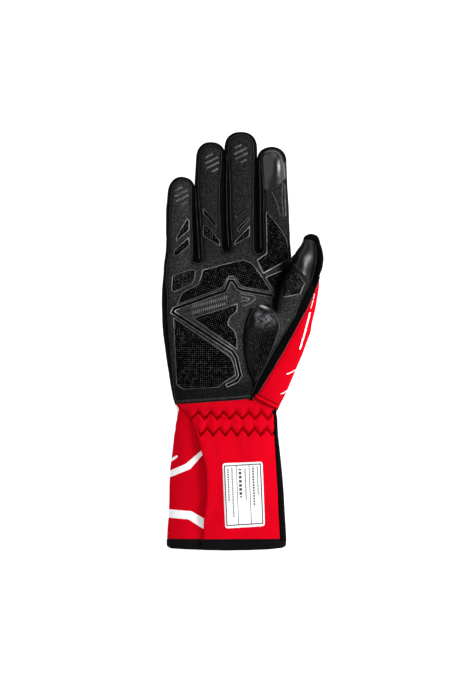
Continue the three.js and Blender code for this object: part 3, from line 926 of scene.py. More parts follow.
# The index finger's front wraps further round its outer side, right of this X and between these two Y.
INDEX_WRAP = (37, 237, 299)
INDEX_WRAP_INSET = 0.9
THUMB_BACK_HIGH = 17.5
WEB_ROUND = 1.1
THUMB_AXIS = ((10, 90), (10, 120), (46, 184), (58, 210), (62, 230))
PATCHES = {
    "index_tip_patch": ((24, 280.5), (34.6, 278), (42.7, 285), (52, 293), (52, 330), (24, 330)),
    "thumb_tip_patch": (
        (48.5, 224), (50.4, 222.6), (56.6, 216.4), (65.4, 206.4), (90, 206), (90, 260), (48.5, 260),
    ),
}

# Dark valleys between the fingers: the middle line from the tips to the web, the half width at both ends,
# and how far beside the line the strip's own seam runs.
VALLEYS = (
    (((-24.6, 280.5), (-24.1, 267.2), (-22.6, 244.3), (-21.6, 225.2)), 2.6, 3.4, 0.8),
    (((-1, 306.1), (-1.3, 279.6), (-0.9, 253.1), (0.3, 235)), 3.0, 4.3, 1.5),
    (((23.8, 301.7), (24.5, 279.6), (24.6, 253.1), (25, 233.6)), 3.0, 4.2, 1.6),
)

# Folds and seams pressed into the hand, with painted shade: the line, its depth at both ends, and its width.
CREASES = (
    (((52, 226), (48.6, 219.5), (45, 213), (40.6, 200), (38.8, 193), (37.8, 187)), 8.0, 6.0, 2.3),
    (
        ((19, 187), (15.4, 178.3), (13.7, 166.3), (14.1, 154.3), (16.2, 143.1), (20.6, 131), (22, 120)),
        1.5, 1.1, 0.95,
    ),
)

# Places where the cloth stands out: middle, reach on both axes, and height.
BULGES = (
    ((39.4, 295.0), (7.0, 12.0), 1.4),
    ((38.4, 295.5), (5.2, 13.0), 1.3),
    ((32.0, 287.0), (6.0, 6.0), 0.7),
    ((60.6, 217.0), (3.0, 7.0), 0.7),
    ((28.5, 299.0), (4.2, 7.0), 0.8),
)

# The thumb's pad is turned towards the fingers: where, how far round, and the slope.
THUMB_TURN = ((57.5, 224.0), 3.0, 0.5)

# White lines printed on the red cloth of the hand, with their width.
HAND_LINES = (
    (((56.4, 155.9), (60.5, 169.8), (64.3, 184.6)), 1.25),
    (((64.7, 187), (66.4, 193), (67.7, 199)), 0.5),
    (((46.2, 136.9), (50, 138.4), (56, 142)), 0.75),
    (((41.5, 121.8), (44, 122.4), (50, 127)), 0.75),
)

# White stripes printed on the cuff's back panel.
STRIPES = (
    (
        (-60, 33.6), (-45, 33.1), (-26.9, 31.6), (-14, 24.2), (-14, 15.6), (-29.3, 25.4), (-44.7, 26.6),
        (-60, 27.2),
    ),
    (
        (-60, 55.6), (-42.7, 63.1), (-31.2, 68.1), (-14, 82.9), (-14, 79.8), (-28.1, 63.9), (-43.1, 57.8),
        (-60, 50.9),
    ),
    ((-50, 67.4), (-42.4, 72.2), (-38.1, 74.9), (-37.4, 73.2), (-42, 70), (-50, 64.6)),
    ((-46, 114), (-38.8, 113.4), (-36.6, 110.4), (-38, 104.7), (-46, 104)),
)


class Mark(Enum):
    """What a part of the hull becomes."""

    STRIP = 0
    BACK = 1
    FRONT = 2
    INK = 3


@dataclass
class Surface:
    """A surface that other pieces are laid on.

    Attributes:
        skin: its triangles.
        ceiling: a height above all of it.
        middle: a height inside it.
    """

    skin: Skin
    ceiling: float = 60.0
    middle: float = MID_HEIGHT

    def __post_init__(self) -> None:
        """Builds the search tree and the smooth normals."""
        self.tree = BVHTree.FromPolygons(self.skin.points.tolist(), self.skin.triangles.tolist())
        self.facing = self.skin.normals()

    def under(self, places: Array) -> tuple[Array, Array]:
        """Drops places straight down onto the surface.

        Args:
            places: points whose first two numbers are X and Y.

        Returns:
            The points met and the surface's directions there. A place beside the surface goes to its
            nearest point.
        """
        met = np.empty((len(places), 3))
        facing = np.empty((len(places), 3))
        down = Vector((0.0, 0.0, -1.0))
        for i, place in enumerate(places):
            point, _, number, _ = self.tree.ray_cast(Vector((place[0], place[1], self.ceiling)), down)
            if point is None:
                point, _, number, _ = self.tree.find_nearest(Vector((place[0], place[1], self.middle)))
            corners = self.skin.triangles[number]
            weight = 1.0 / (np.linalg.norm(self.skin.points[corners] - np.array(point), axis=1) + 0.05)
            met[i] = point
            facing[i] = weight @ self.facing[corners]
        return met, facing / np.linalg.norm(facing, axis=1, keepdims=True)

    def course(self, line: Outline, step: float, rise: float, closed: bool = False) -> Array:
        """Lays a line on the surface, with even points and some way proud of it."""
        met, facing = self.under(resampled(np.array(line, float), step, closed))
        return met + facing * rise


def laid_patch(
    surface: Surface,
    outline: Outline | Array,
    height: HeightField,
    rim_width: float = 0.0,
    cell: float = PATCH_CELL,
    sink: float = 0.45,
) -> tuple[Skin, Array]:
    """A closed patch that follows a surface inside an outline.

    Args:
        surface: what it lies on.
        outline: its edge seen from above.
        height: the height above the surface, from the depths in the outline and the places.
        rim_width: the width of the edge that is marked 0. The rest is marked 1.
        cell: the size of its faces.
        sink: how far its underside reaches into the surface.

    Returns:
        The patch, and the depth in the outline at each of its points.
    """
    corners = np.array(outline, float)
    low, high = corners.min(axis=0) - cell, corners.max(axis=0) + cell
    x, y = (np.arange(a, b + cell, cell) for a, b in zip(low, high))
    flat = grid_skin(np.stack([*np.meshgrid(x, y), np.zeros((len(y), len(x)))], axis=-1))
    snap = SNAP_SHARE * cell
    flat, inside = flat.divided(depth_in(corners, flat.points), snap)
    flat = flat.kept(inside)
    if rim_width:
        flat, _ = flat.divided(depth_in(corners, flat.points) - 0.5 * rim_width, snap)
        flat, field_side = flat.divided(depth_in(corners, flat.points) - rim_width, snap)
        flat.marks = field_side.astype(int)
    depth = np.maximum(depth_in(corners, flat.points), 0.0)
    met, facing = surface.under(flat.points)
    base = Skin(met, flat.triangles, flat.marks).smoothed(4)
    top = base.points + facing * height(depth, flat.points)[:, None]
    closed = Skin(top, base.triangles, base.marks).closed_with(base.points - facing * sink)
    return closed, np.concatenate([depth, depth])


FLOAT, VECTOR = "NodeSocketFloat", "NodeSocketVector"
GEOMETRY, MATERIAL = "NodeSocketGeometry", "NodeSocketMaterial"

# How much of a dashed line is drawn
DASH_SHARE = 0.7


class Graph:
    """Adds linked nodes to a node tree."""

    # A Mix node's sockets for colours, by number
    MIX_FIRST, MIX_SECOND, MIX_RESULT = 6, 7, 2

    def __init__(self, tree: NodeTree) -> None:
        """Takes the tree that the nodes go into."""
        self.tree = tree

    @cached_property
    def given(self) -> bpy_prop_collection:
        """What the tree's own group is given, by name."""
        return self.add("NodeGroupInput").outputs

    def give(self, **results: NodeSocket) -> NodeTree:
        """Links a group's outputs, and gives its tree."""
        self.add("NodeGroupOutput", results)
        return self.tree

    def add(self, kind: str, inputs: dict | None = None, **settings: object) -> Node:
        """Adds one node.

        Args:
            kind: the node's type.
            inputs: for each socket, by name or number, a value or the socket that feeds it.
            settings: the node's own properties.

        Returns:
            The node.
        """
        node = self.tree.nodes.new(kind)
        for name, value in settings.items():
            setattr(node, name, value)
        for socket, value in (inputs or {}).items():
            if isinstance(value, NodeSocket):
                self.tree.links.new(value, node.inputs[socket])
            else:
                node.inputs[socket].default_value = value
        return node

    def out(self, kind: str, inputs: dict | None = None, **settings: object) -> NodeSocket:
        """Adds one node and gives its first output."""
        return self.add(kind, inputs, **settings).outputs[0]

    def group(self, tree: NodeTree, **inputs: object) -> bpy_prop_collection:
        """Adds a node group and gives its outputs. An underscore in an input's name is a space."""
        named = {name.replace("_", " "): value for name, value in inputs.items()}
        return self.add("ShaderNodeGroup", named, node_tree=tree).outputs

    def math(self, operation: str, *values: object) -> NodeSocket:
        """Adds a Math node and gives its result."""
        return self.out("ShaderNodeMath", dict(enumerate(values)), operation=operation)

    def vector_math(self, operation: str, *values: object) -> NodeSocket:
        """Adds a Vector Math node and gives its vector."""
        return self.out("ShaderNodeVectorMath", dict(enumerate(values)), operation=operation)

    def scaled(self, vector: NodeSocket, scale: object) -> NodeSocket:
        """Multiplies a vector by a number."""
        return self.out("ShaderNodeVectorMath", {0: vector, "Scale": scale}, operation="SCALE")

    def mapped(
        self, value: NodeSocket, low: object = 0.0, high: object = 1.0, first: float = 0.0, last: float = 1.0
    ) -> NodeSocket:
        """Maps what lies from low to high onto first to last, and stops there."""
        ends = {"From Min": low, "From Max": high, "To Min": first, "To Max": last}
        return self.out("ShaderNodeMapRange", {"Value": value, **ends}, clamp=True)

    def mix(self, share: object, first: object, second: object) -> NodeSocket:
        """Mixes two colours and gives the result."""
        colours = {0: share, self.MIX_FIRST: first, self.MIX_SECOND: second}
        return self.add("ShaderNodeMix", colours, data_type="RGBA").outputs[self.MIX_RESULT]


def new_group(name: str, kind: str, inputs: Sockets, outputs: dict[str, str]) -> Graph:
    """Starts a node group with named inputs and outputs.

    Args:
        name: the group's name.
        kind: its tree's type.
        inputs: each input's socket type and default.
        outputs: each output's socket type.

    Returns:
        A graph with the group's tree.
    """
    tree = bpy.data.node_groups.new(name, kind)
    for label, (socket_type, default) in inputs.items():
        socket = tree.interface.new_socket(label, in_out="INPUT", socket_type=socket_type)
        if default is not None:
            socket.default_value = default
    for label, socket_type in outputs.items():
        tree.interface.new_socket(label, in_out="OUTPUT", socket_type=socket_type)
    return Graph(tree)


def shader_group(name: str, numbers: dict[str, float], *results: str) -> Graph:
    """Starts a shader group that takes a vector and numbers, and gives numbers."""
    inputs = {"Vector": (VECTOR, None)} | {label: (FLOAT, number) for label, number in numbers.items()}
    return new_group(name, "ShaderNodeTree", inputs, {label: FLOAT for label in results})


def geometry_tree(name: str, numbers: dict[str, float]) -> Graph:
    """Starts a Geometry Nodes tree that takes geometry, numbers and a finish, and gives geometry.

    Args:
        name: the tree's name.
        numbers: each number's default.

    Returns:
        A graph with the tree.
    """
    inputs = {"Geometry": (GEOMETRY, None)} | {label: (FLOAT, number) for label, number in numbers.items()}
    inputs["Finish"] = (MATERIAL, None)
    graph = new_group(name, "GeometryNodeTree", inputs, {"Geometry": GEOMETRY})
    graph.tree.is_modifier = True
    return graph


def make_weave_group() -> NodeTree:
    """Threads crossing in all three directions, so that the weave shows on any side.

    Returns:
        The group.
    """
    graph = shader_group("Crossed threads", {"Pitch": 0.0009}, "Height", "Shade")
    turns = graph.math("DIVIDE", 2.0 * math.pi, graph.given["Pitch"])
    axes = graph.add("ShaderNodeSeparateXYZ", {0: graph.scaled(graph.given["Vector"], turns)}).outputs
    x, y, z = (graph.math("SINE", axes[i]) for i in range(3))
    crossed = graph.math("MULTIPLY_ADD", y, z, graph.math("MULTIPLY", x, y))
    height = graph.math("MULTIPLY_ADD", z, x, crossed)
    return graph.give(Height=height, Shade=graph.math("MULTIPLY_ADD", height, 0.25, 0.5))


def make_grain_group() -> NodeTree:
    """Fine grain over broad, soft patches.

    Returns:
        The group.
    """
    numbers = {"Fine Scale": 2500.0, "Patch Scale": 60.0, "Patch Spread": 0.2}
    graph = shader_group("Grain and patches", numbers, "Grain", "Patches")
    made = []
    for scale, detail, roughness in (("Fine Scale", 3.0, 0.6), ("Patch Scale", 4.0, 0.55)):
        inputs = {"Vector": graph.given["Vector"], "Scale": graph.given[scale]}
        made.append(graph.out("ShaderNodeTexNoise", {**inputs, "Detail": detail, "Roughness": roughness}))
    low, high = (graph.math(side, 0.5, graph.given["Patch Spread"]) for side in ("SUBTRACT", "ADD"))
    return graph.give(Grain=made[0], Patches=graph.mapped(made[1], low, high))


def make_pebble_group() -> NodeTree:
    """Small leather pebbles parted by narrow valleys.

    Returns:
        The group.
    """
    graph = shader_group("Leather pebbles", {"Scale": 900.0}, "Height")
    inputs = {name: graph.given[name] for name in ("Vector", "Scale")}
    cells = graph.out("ShaderNodeTexVoronoi", inputs, feature="DISTANCE_TO_EDGE")
    return graph.give(Height=graph.mapped(cells, 0.0, 0.25))


def make_ruled_group() -> NodeTree:
    """An upright ruled line on a flat pattern, as a mask.

    Returns:
        The group.
    """
    numbers = {"Across": 0.5, "Half Width": 0.01, "Middle": 0.5, "Half Length": 0.4, "Dashes": 0.0}
    graph = shader_group("Ruled line", numbers, "Mask")
    axes = graph.add("ShaderNodeSeparateXYZ", {0: graph.given["Vector"]}).outputs
    masks = []
    for axis, middle, reach in ((0, "Across", "Half Width"), (1, "Middle", "Half Length")):
        gap = graph.math("ABSOLUTE", graph.math("SUBTRACT", axes[axis], graph.given[middle]))
        masks.append(graph.math("LESS_THAN", gap, graph.given[reach]))
    run = graph.math("FRACT", graph.math("MULTIPLY", axes[1], graph.given["Dashes"]))
    dashed = graph.math("LESS_THAN", run, DASH_SHARE)
    return graph.give(Mask=graph.math("MULTIPLY", graph.math("MULTIPLY", *masks), dashed))


@dataclass(frozen=True)
class SharedEffects:
    """The shader groups that several finishes use."""

    weave: NodeTree
    grain: NodeTree
    pebbles: NodeTree
    ruled: NodeTree


@dataclass(frozen=True)
class Finish:
    """A cloth, leather or rubber surface.

    Attributes:
        name: the material's name.
        colour: its main colour, as linear red, green and blue.
        light_tone: the colour of its lighter patches, at random, and of its painted light where
            painted_shading_name is set.
        roughness: from the smoothest place to the roughest.
        weave_pitch: the distance between threads in metres, or 0 for none.
        weave_depth: how deep the threads are, in metres.
        pebble_scale: leather pebbles to a metre, or 0 for none.
        grain_scale: how fine the grain is.
        grain_depth: how deep the grain is, in metres.
        patch_scale: how small the patches are.
        patch_spread: how softly they run into one another.
        fleck: the colour of the grain's high places.
        flecked: how strongly they show.
        sheen: how much light the nap throws back.
        specular: the strength of plain reflections.
        coat: the weight of a clear layer.
        painted_shading_name: the name of an attribute of painted light and shade, from -1, dark, to 1,
            light, or nothing.
    """

    name: str
    colour: tuple[float, float, float]
    light_tone: tuple[float, float, float]
    roughness: tuple[float, float] = (0.8, 0.95)
    weave_pitch: float = 0.0
    weave_depth: float = 0.0001
    pebble_scale: float = 0.0
    grain_scale: float = 2200.0
    grain_depth: float = 0.00008
    patch_scale: float = 55.0
    patch_spread: float = 0.2
    fleck: tuple[float, float, float] = (0.0, 0.0, 0.0)
    flecked: float = 0.0
    sheen: float = 0.0
    specular: float = 0.5
    coat: float = 0.0
    painted_shading_name: str = ""

    DEEP_SHADE = (0.0008, 0.0008, 0.0008)
    PEBBLE_DEPTH = 0.00001
    THREAD_SHADE = 0.72
    FLECKS = (0.46, 0.62)
    SHEEN_ROUGHNESS = 0.45
    COAT_ROUGHNESS = 0.14

    def material(self, effects: SharedEffects) -> Material:
        """Builds the material.

        Args:
            effects: the shared node groups.

        Returns:
            The finished material.
        """
        material = bpy.data.materials.new(self.name)
        material.use_nodes = True
        material.node_tree.nodes.clear()
        graph = Graph(material.node_tree)
        place = graph.add("ShaderNodeTexCoord").outputs["Object"]
        grain, patches = graph.group(
            effects.grain, Vector=place, Fine_Scale=self.grain_scale, Patch_Scale=self.patch_scale,
            Patch_Spread=self.patch_spread,
        )
        height = graph.math("MULTIPLY", grain, self.grain_depth)
        flecked = self.flecked
        # Painted light: where the shading attribute is above nought, it lightens the patches and brings out
        # the flecks.
        if self.painted_shading_name:
            painted_shading = graph.add("ShaderNodeAttribute", attribute_name=self.painted_shading_name).outputs["Fac"]
            painted_light = graph.mapped(painted_shading)
            patches = graph.math("MULTIPLY", graph.math("MULTIPLY_ADD", patches, 0.6, 0.4), painted_light)
            flecked = graph.math("MULTIPLY_ADD", painted_light, 0.7 * self.flecked, 0.3 * self.flecked)
        colour = graph.mix(patches, (*self.colour, 1.0), (*self.light_tone, 1.0))
        if self.flecked:
            share = graph.math("MULTIPLY", graph.mapped(grain, *self.FLECKS), flecked)
            colour = graph.mix(share, colour, (*self.fleck, 1.0))
        # Painted shade: where the shading attribute falls below nought, the colour goes towards DEEP_SHADE.
        if self.painted_shading_name:
            colour = graph.mix(graph.mapped(painted_shading, 0.0, -1.0), colour, (*self.DEEP_SHADE, 1.0))
        if self.weave_pitch:
            threads, shade = graph.group(effects.weave, Vector=place, Pitch=self.weave_pitch)
            height = graph.math("MULTIPLY_ADD", threads, self.weave_depth, height)
            share = graph.math("MULTIPLY", graph.math("SUBTRACT", 1.0, shade), 0.5)
            threaded = [self.THREAD_SHADE * value for value in self.colour]
            colour = graph.mix(share, colour, (*threaded, 1.0))
        if self.pebble_scale:
            pebbles = graph.group(effects.pebbles, Vector=place, Scale=self.pebble_scale)[0]
            height = graph.math("MULTIPLY_ADD", pebbles, self.PEBBLE_DEPTH, height)
        low, high = self.roughness
        shader = graph.out(
            "ShaderNodeBsdfPrincipled",
            {
                "Base Color": colour,
                "Roughness": graph.mapped(grain, 0.3, 0.7, low, high),
                "Normal": graph.out("ShaderNodeBump", {"Height": height, "Distance": 1.0, "Strength": 1.0}),
                "Sheen Weight": self.sheen,
                "Sheen Roughness": self.SHEEN_ROUGHNESS,
                "Specular IOR Level": self.specular,
                "Coat Weight": self.coat,
                "Coat Roughness": self.COAT_ROUGHNESS,
            },
        )
        graph.add("ShaderNodeOutputMaterial", {"Surface": shader})
        return material


# The suede's lighter patches are random, and on the palm they also carry painted light.
SUEDE = Finish(
    "suede_nap", (0.005, 0.005, 0.0052), (0.0175, 0.0175, 0.0177), (0.9, 1.0), grain_scale=1000.0,
    grain_depth=0.0002, fleck=(0.12, 0.12, 0.12), flecked=0.46, sheen=0.02, specular=0.06, painted_shading_name="painted_shading",
)
SMOOTH = Finish(
    "smooth_leather", (0.0025, 0.0025, 0.0027), (0.005, 0.005, 0.0054), (0.26, 0.36), pebble_scale=1300.0,
    grain_depth=0.00001, specular=0.6, coat=0.05,
)
WORN_LEATHER = replace(SMOOTH, name="worn_leather", specular=0.27, coat=0.0)
KNIT = Finish(
    "black_knit", (0.0028, 0.0026, 0.0032), (0.006, 0.0056, 0.0066), (0.85, 0.95), weave_pitch=0.0011,
    weave_depth=0.00014, fleck=(0.018, 0.017, 0.02), flecked=0.5, sheen=0.01, specular=0.04,
)
DARK_KNIT = replace(
    KNIT, name="dark_knit", colour=(0.0006, 0.0006, 0.0007), light_tone=(0.0018, 0.0018, 0.002),
    fleck=(0.008, 0.008, 0.0085), specular=0.03,
)
RED = Finish(
    "red_cloth", (0.66, 0.0006, 0.0095), (0.75, 0.0012, 0.0135), (0.8, 0.95), weave_pitch=0.0008,
    weave_depth=0.00006, grain_depth=0.00004, patch_scale=35.0, specular=0.02,
)
# Red cloth with painted shade in the elastic's grooves and a painted shadow beside the cuff's fold.
SHADED_RED = replace(RED, name="shaded_red_cloth", painted_shading_name="painted_shading")
WHITE = Finish("white_print", (0.96, 0.96, 0.96), (0.98, 0.98, 0.98), (0.6, 0.75), grain_depth=0.00002)
FIELD = Finish(
    "silicone_field", (0.0003, 0.0003, 0.0004), (0.0009, 0.0009, 0.0011), (0.5, 0.65), grain_depth=0.00004,
    specular=0.015,
)
# The dots' lighter patches are painted glints, on some dots at random.
DOT = Finish(
    "silicone_dot", (0.0022, 0.0022, 0.0025), (0.11, 0.11, 0.114), (0.28, 0.4), grain_depth=0.00001,
    patch_scale=300.0, patch_spread=0.12, specular=0.35,
)
# The rims' lighter colour is their painted shine and glints.
RIM = Finish(
    "silicone_rim", (0.006, 0.006, 0.0065), (0.5, 0.5, 0.5), (0.3, 0.45), grain_depth=0.00006,
    patch_scale=190.0, patch_spread=0.12, specular=0.3, painted_shading_name="painted_shading",
)
# The pad's lighter colour is painted highlights on its wrinkles and roll.
PAD = Finish(
    "silicone_pad", (0.0011, 0.0008, 0.0014), (0.6, 0.58, 0.62), (0.26, 0.36), grain_depth=0.00003,
    specular=0.1, painted_shading_name="painted_shading",
)
BLACK_THREAD = Finish(
    "black_thread", (0.006, 0.006, 0.006), (0.055, 0.055, 0.055), (0.6, 0.8), grain_depth=0.00002,
    patch_scale=120.0, specular=0.2,
)
GREY_THREAD = Finish(
    "grey_thread", (0.006, 0.006, 0.006), (0.042, 0.042, 0.042), (0.6, 0.8), grain_depth=0.00002,
    patch_scale=90.0, specular=0.2,
)
RED_THREAD = Finish("red_thread", (0.08, 0.0003, 0.0015), (0.16, 0.001, 0.003), (0.7, 0.9), specular=0.05)
WHITE_THREAD = Finish("white_thread", (0.7, 0.7, 0.7), (0.8, 0.8, 0.8), (0.6, 0.8), grain_depth=0.00002)


def run_tree(piece: Object, tree: NodeTree, values: dict[str, object]) -> None:
    """Runs a Geometry Nodes tree on an object and keeps the result as its mesh.

    Args:
        piece: the object.
        tree: the tree.
        values: what its inputs are set to, by name.
    """
    modifier = piece.modifiers.new(tree.name, "NODES")
    modifier.node_group = tree
    for item in tree.interface.items_tree:
        if item.item_type == "SOCKET" and item.in_out == "INPUT" and item.name in values:
            modifier[item.identifier] = values[item.name]
    settle(piece)


def even_curve(graph: Graph, spacing: str) -> NodeSocket:
    """A curve with even points along the edges that a tree is given.

    Args:
        graph: the tree's graph.
        spacing: the name of the input that sets the distance between points.

    Returns:
        The curve.
    """
    curve = graph.out("GeometryNodeMeshToCurve", {"Mesh": graph.given["Geometry"]})
    inputs = {"Curve": curve, "Length": graph.given[spacing]}
    return graph.out("GeometryNodeResampleCurve", inputs, mode="LENGTH")


def beads(
    graph: Graph, points: NodeSocket, facing: NodeSocket, size: NodeSocket, **more: NodeSocket
) -> NodeSocket:
    """Sets small round beads on points.

    Args:
        graph: the tree's graph.
        points: where they stand.
        facing: the direction of each bead's own Z.
        size: its three half sizes.
        more: further inputs of the instances.

    Returns:
        The beads, as instances.
    """
    turned = graph.out("FunctionNodeAlignRotationToVector", {"Vector": facing}, axis="Z")
    ball = graph.out("GeometryNodeMeshUVSphere", {"Segments": 6, "Rings": 4, "Radius": 1.0})
    smooth = graph.out("GeometryNodeSetShadeSmooth", {"Geometry": ball})
    inputs = {"Points": points, "Instance": smooth, "Rotation": turned, "Scale": size}
    return graph.out("GeometryNodeInstanceOnPoints", inputs | more)


def finished(graph: Graph, made: NodeSocket) -> NodeSocket:
    """Makes instances real and gives them the tree's finish."""
    real = graph.out("GeometryNodeRealizeInstances", {0: made})
    return graph.out("GeometryNodeSetMaterial", {"Geometry": real, "Material": graph.given["Finish"]})


def make_piping_tree() -> NodeTree:
    """A round cord swept along the edges it is given.

    Returns:
        The tree.
    """
    graph = geometry_tree("Piping", {"Radius": 0.0004, "Spacing": 0.001})
    curve = even_curve(graph, "Spacing")
    sizes = {"Resolution": 6, "Radius": graph.given["Radius"]}
    circle = graph.out("GeometryNodeCurvePrimitiveCircle", sizes)
    tube = graph.out("GeometryNodeCurveToMesh", {"Curve": curve, "Profile Curve": circle, "Fill Caps": True})
    return graph.give(Geometry=finished(graph, tube))


def make_stitch_tree() -> NodeTree:
    """Short threads in a row along the edges it is given.

    Returns:
        The tree.
    """
    graph = geometry_tree("Stitches", {"Pitch": 0.0025, "Length": 0.0016, "Radius": 0.00022})
    radius, half = graph.given["Radius"], graph.math("MULTIPLY", graph.given["Length"], 0.5)
    size = graph.out("ShaderNodeCombineXYZ", {0: radius, 1: radius, 2: half})
    row = beads(graph, even_curve(graph, "Pitch"), graph.out("GeometryNodeInputTangent"), size)
    return graph.give(Geometry=finished(graph, row))


# How far above a piece its lattice of dots hangs and how far down it looks, in metres. A dot's size is
# anything between the two shares.
LATTICE_RISE, LATTICE_REACH = 0.05, 0.2
DOT_SHARES, DOT_SEED = (0.45, 1.2), 7


def dot_lattice(graph: Graph) -> NodeSocket:
    """A square lattice of points above all of a tree's geometry, turned by the tree's angle.

    Args:
        graph: the tree's graph.

    Returns:
        The lattice.
    """
    given = graph.given
    box = graph.add("GeometryNodeBoundBox", {0: given["Geometry"]}).outputs
    across = graph.add("ShaderNodeVectorMath", {0: box["Max"], 1: box["Min"]}, operation="DISTANCE")
    count = graph.math("CEIL", graph.math("DIVIDE", across.outputs["Value"], given["Pitch"]))
    size, rows = graph.math("MULTIPLY", count, given["Pitch"]), graph.math("ADD", count, 1.0)
    sizes = {"Size X": size, "Size Y": size, "Vertices X": rows, "Vertices Y": rows}
    middle = graph.scaled(graph.vector_math("ADD", box["Max"], box["Min"]), 0.5)
    placed = {
        "Geometry": graph.out("GeometryNodeMeshGrid", sizes),
        "Translation": graph.vector_math("ADD", middle, (0.0, 0.0, LATTICE_RISE)),
        "Rotation": graph.out("ShaderNodeCombineXYZ", {2: given["Angle"]}),
    }
    return graph.out("GeometryNodeTransform", placed)


def make_dot_tree() -> NodeTree:
    """Rows of small, uneven domes over the deep part of a raised grip.

    Returns:
        The tree.
    """
    numbers = {"Pitch": 0.0015, "Angle": 0.0, "Inset": 1.5, "Radius": 0.0005, "Height": 0.0003}
    graph = geometry_tree("Grip dots", numbers)
    given = graph.given
    depth = graph.out("GeometryNodeInputNamedAttribute", {"Name": "depth"}, data_type="FLOAT")
    down = {"Ray Direction": (0.0, 0.0, -1.0), "Ray Length": LATTICE_REACH}
    target = {"Target Geometry": given["Geometry"], "Attribute": depth}
    ray = graph.add("GeometryNodeRaycast", target | down, data_type="FLOAT").outputs
    deep = graph.math("GREATER_THAN", ray["Attribute"], given["Inset"])
    chosen = graph.math("MULTIPLY", deep, ray["Is Hit"])
    chance = graph.add("FunctionNodeRandomValue", {"Seed": DOT_SEED}, data_type="FLOAT")
    for name, value in zip(("Min", "Max"), DOT_SHARES):
        socket = next(item for item in chance.inputs if item.name == name and item.type == "VALUE")
        socket.default_value = value
    share = next(item for item in chance.outputs if item.type == "VALUE")
    size = graph.out("ShaderNodeCombineXYZ", {0: given["Radius"], 1: given["Radius"], 2: given["Height"]})
    domes = beads(graph, dot_lattice(graph), ray["Hit Normal"], graph.scaled(size, share), Selection=chosen)
    fall = graph.vector_math("SUBTRACT", ray["Hit Position"], graph.out("GeometryNodeInputPosition"))
    lowered = graph.out(
        "GeometryNodeTranslateInstances", {"Instances": domes, "Translation": fall, "Local Space": False}
    )
    both = graph.add("GeometryNodeJoinGeometry")
    for geometry in (finished(graph, lowered), given["Geometry"]):
        graph.tree.links.new(geometry, both.inputs[0])
    return graph.give(Geometry=both.outputs[0])


@dataclass(frozen=True)
class Workshop:
    """The materials and the Geometry Nodes trees that the pieces share."""

    suede: Material
    smooth: Material
    worn_leather: Material
    knit: Material
    dark_knit: Material
    red: Material
    shaded_red: Material
    white: Material
    field: Material
    dot: Material
    rim: Material
    pad: Material
    black_thread: Material
    grey_thread: Material
    red_thread: Material
    white_thread: Material
    effects: SharedEffects
    piping: NodeTree
    stitches: NodeTree
    dots: NodeTree

    @classmethod
    def opened(cls) -> "Workshop":
        """Makes every shared material and tree once.

        Returns:
            The workshop.
        """
        makers = (make_weave_group, make_grain_group, make_pebble_group, make_ruled_group)
        effects = SharedEffects(*(make() for make in makers))
        finishes = (
            SUEDE, SMOOTH, WORN_LEATHER, KNIT, DARK_KNIT, RED, SHADED_RED, WHITE, FIELD, DOT, RIM, PAD,
            BLACK_THREAD, GREY_THREAD, RED_THREAD, WHITE_THREAD,
        )
        materials = [finish.material(effects) for finish in finishes]
        return cls(*materials, effects, make_piping_tree(), make_stitch_tree(), make_dot_tree())

    def _sewn(
        self, name: str, slot: str, lines: Iterable[Array], closed: bool, tree: NodeTree,
        values: dict[str, object],
    ) -> None:
        """Runs piping or stitches along lines and publishes them.

        Args:
            name: the piece's name.
            slot: its material slot.
            lines: points of each line in the hand frame.
            closed: whether the lines join up with themselves.
            tree: the piping or the stitch tree.
            values: the tree's inputs.
        """
        points, edges = [], []
        for line in lines:
            start, count = len(points), len(line)
            points += ((line - ORIGIN) * MM).tolist()
            edges += [(start + i, start + (i + 1) % count) for i in range(count if closed else count - 1)]
        mesh = bpy.data.meshes.new(name)
        mesh.from_pydata(points, edges, [])
        piece = added(name, mesh)
        run_tree(piece, tree, values)
        piece.data.shade_smooth()
        publish(piece, slot)

    def piped(
        self, name: str, slot: str, lines: Iterable[Array], finish: Material, radius: float = 0.3,
        spacing: float = 1.2, closed: bool = False,
    ) -> None:
        """Lays piping along lines. Lengths are millimetres."""
        values = {"Radius": radius * MM, "Spacing": spacing * MM, "Finish": finish}
        self._sewn(name, slot, lines, closed, self.piping, values)

    def stitched(
        self, name: str, slot: str, lines: Iterable[Array], finish: Material, pitch: float = 2.2,
        length: float = 1.5, radius: float = 0.2, closed: bool = False,
    ) -> None:
        """Sews stitches along lines. Lengths are millimetres."""
        values = {"Pitch": pitch * MM, "Length": length * MM, "Radius": radius * MM, "Finish": finish}
        self._sewn(name, slot, lines, closed, self.stitches, values)


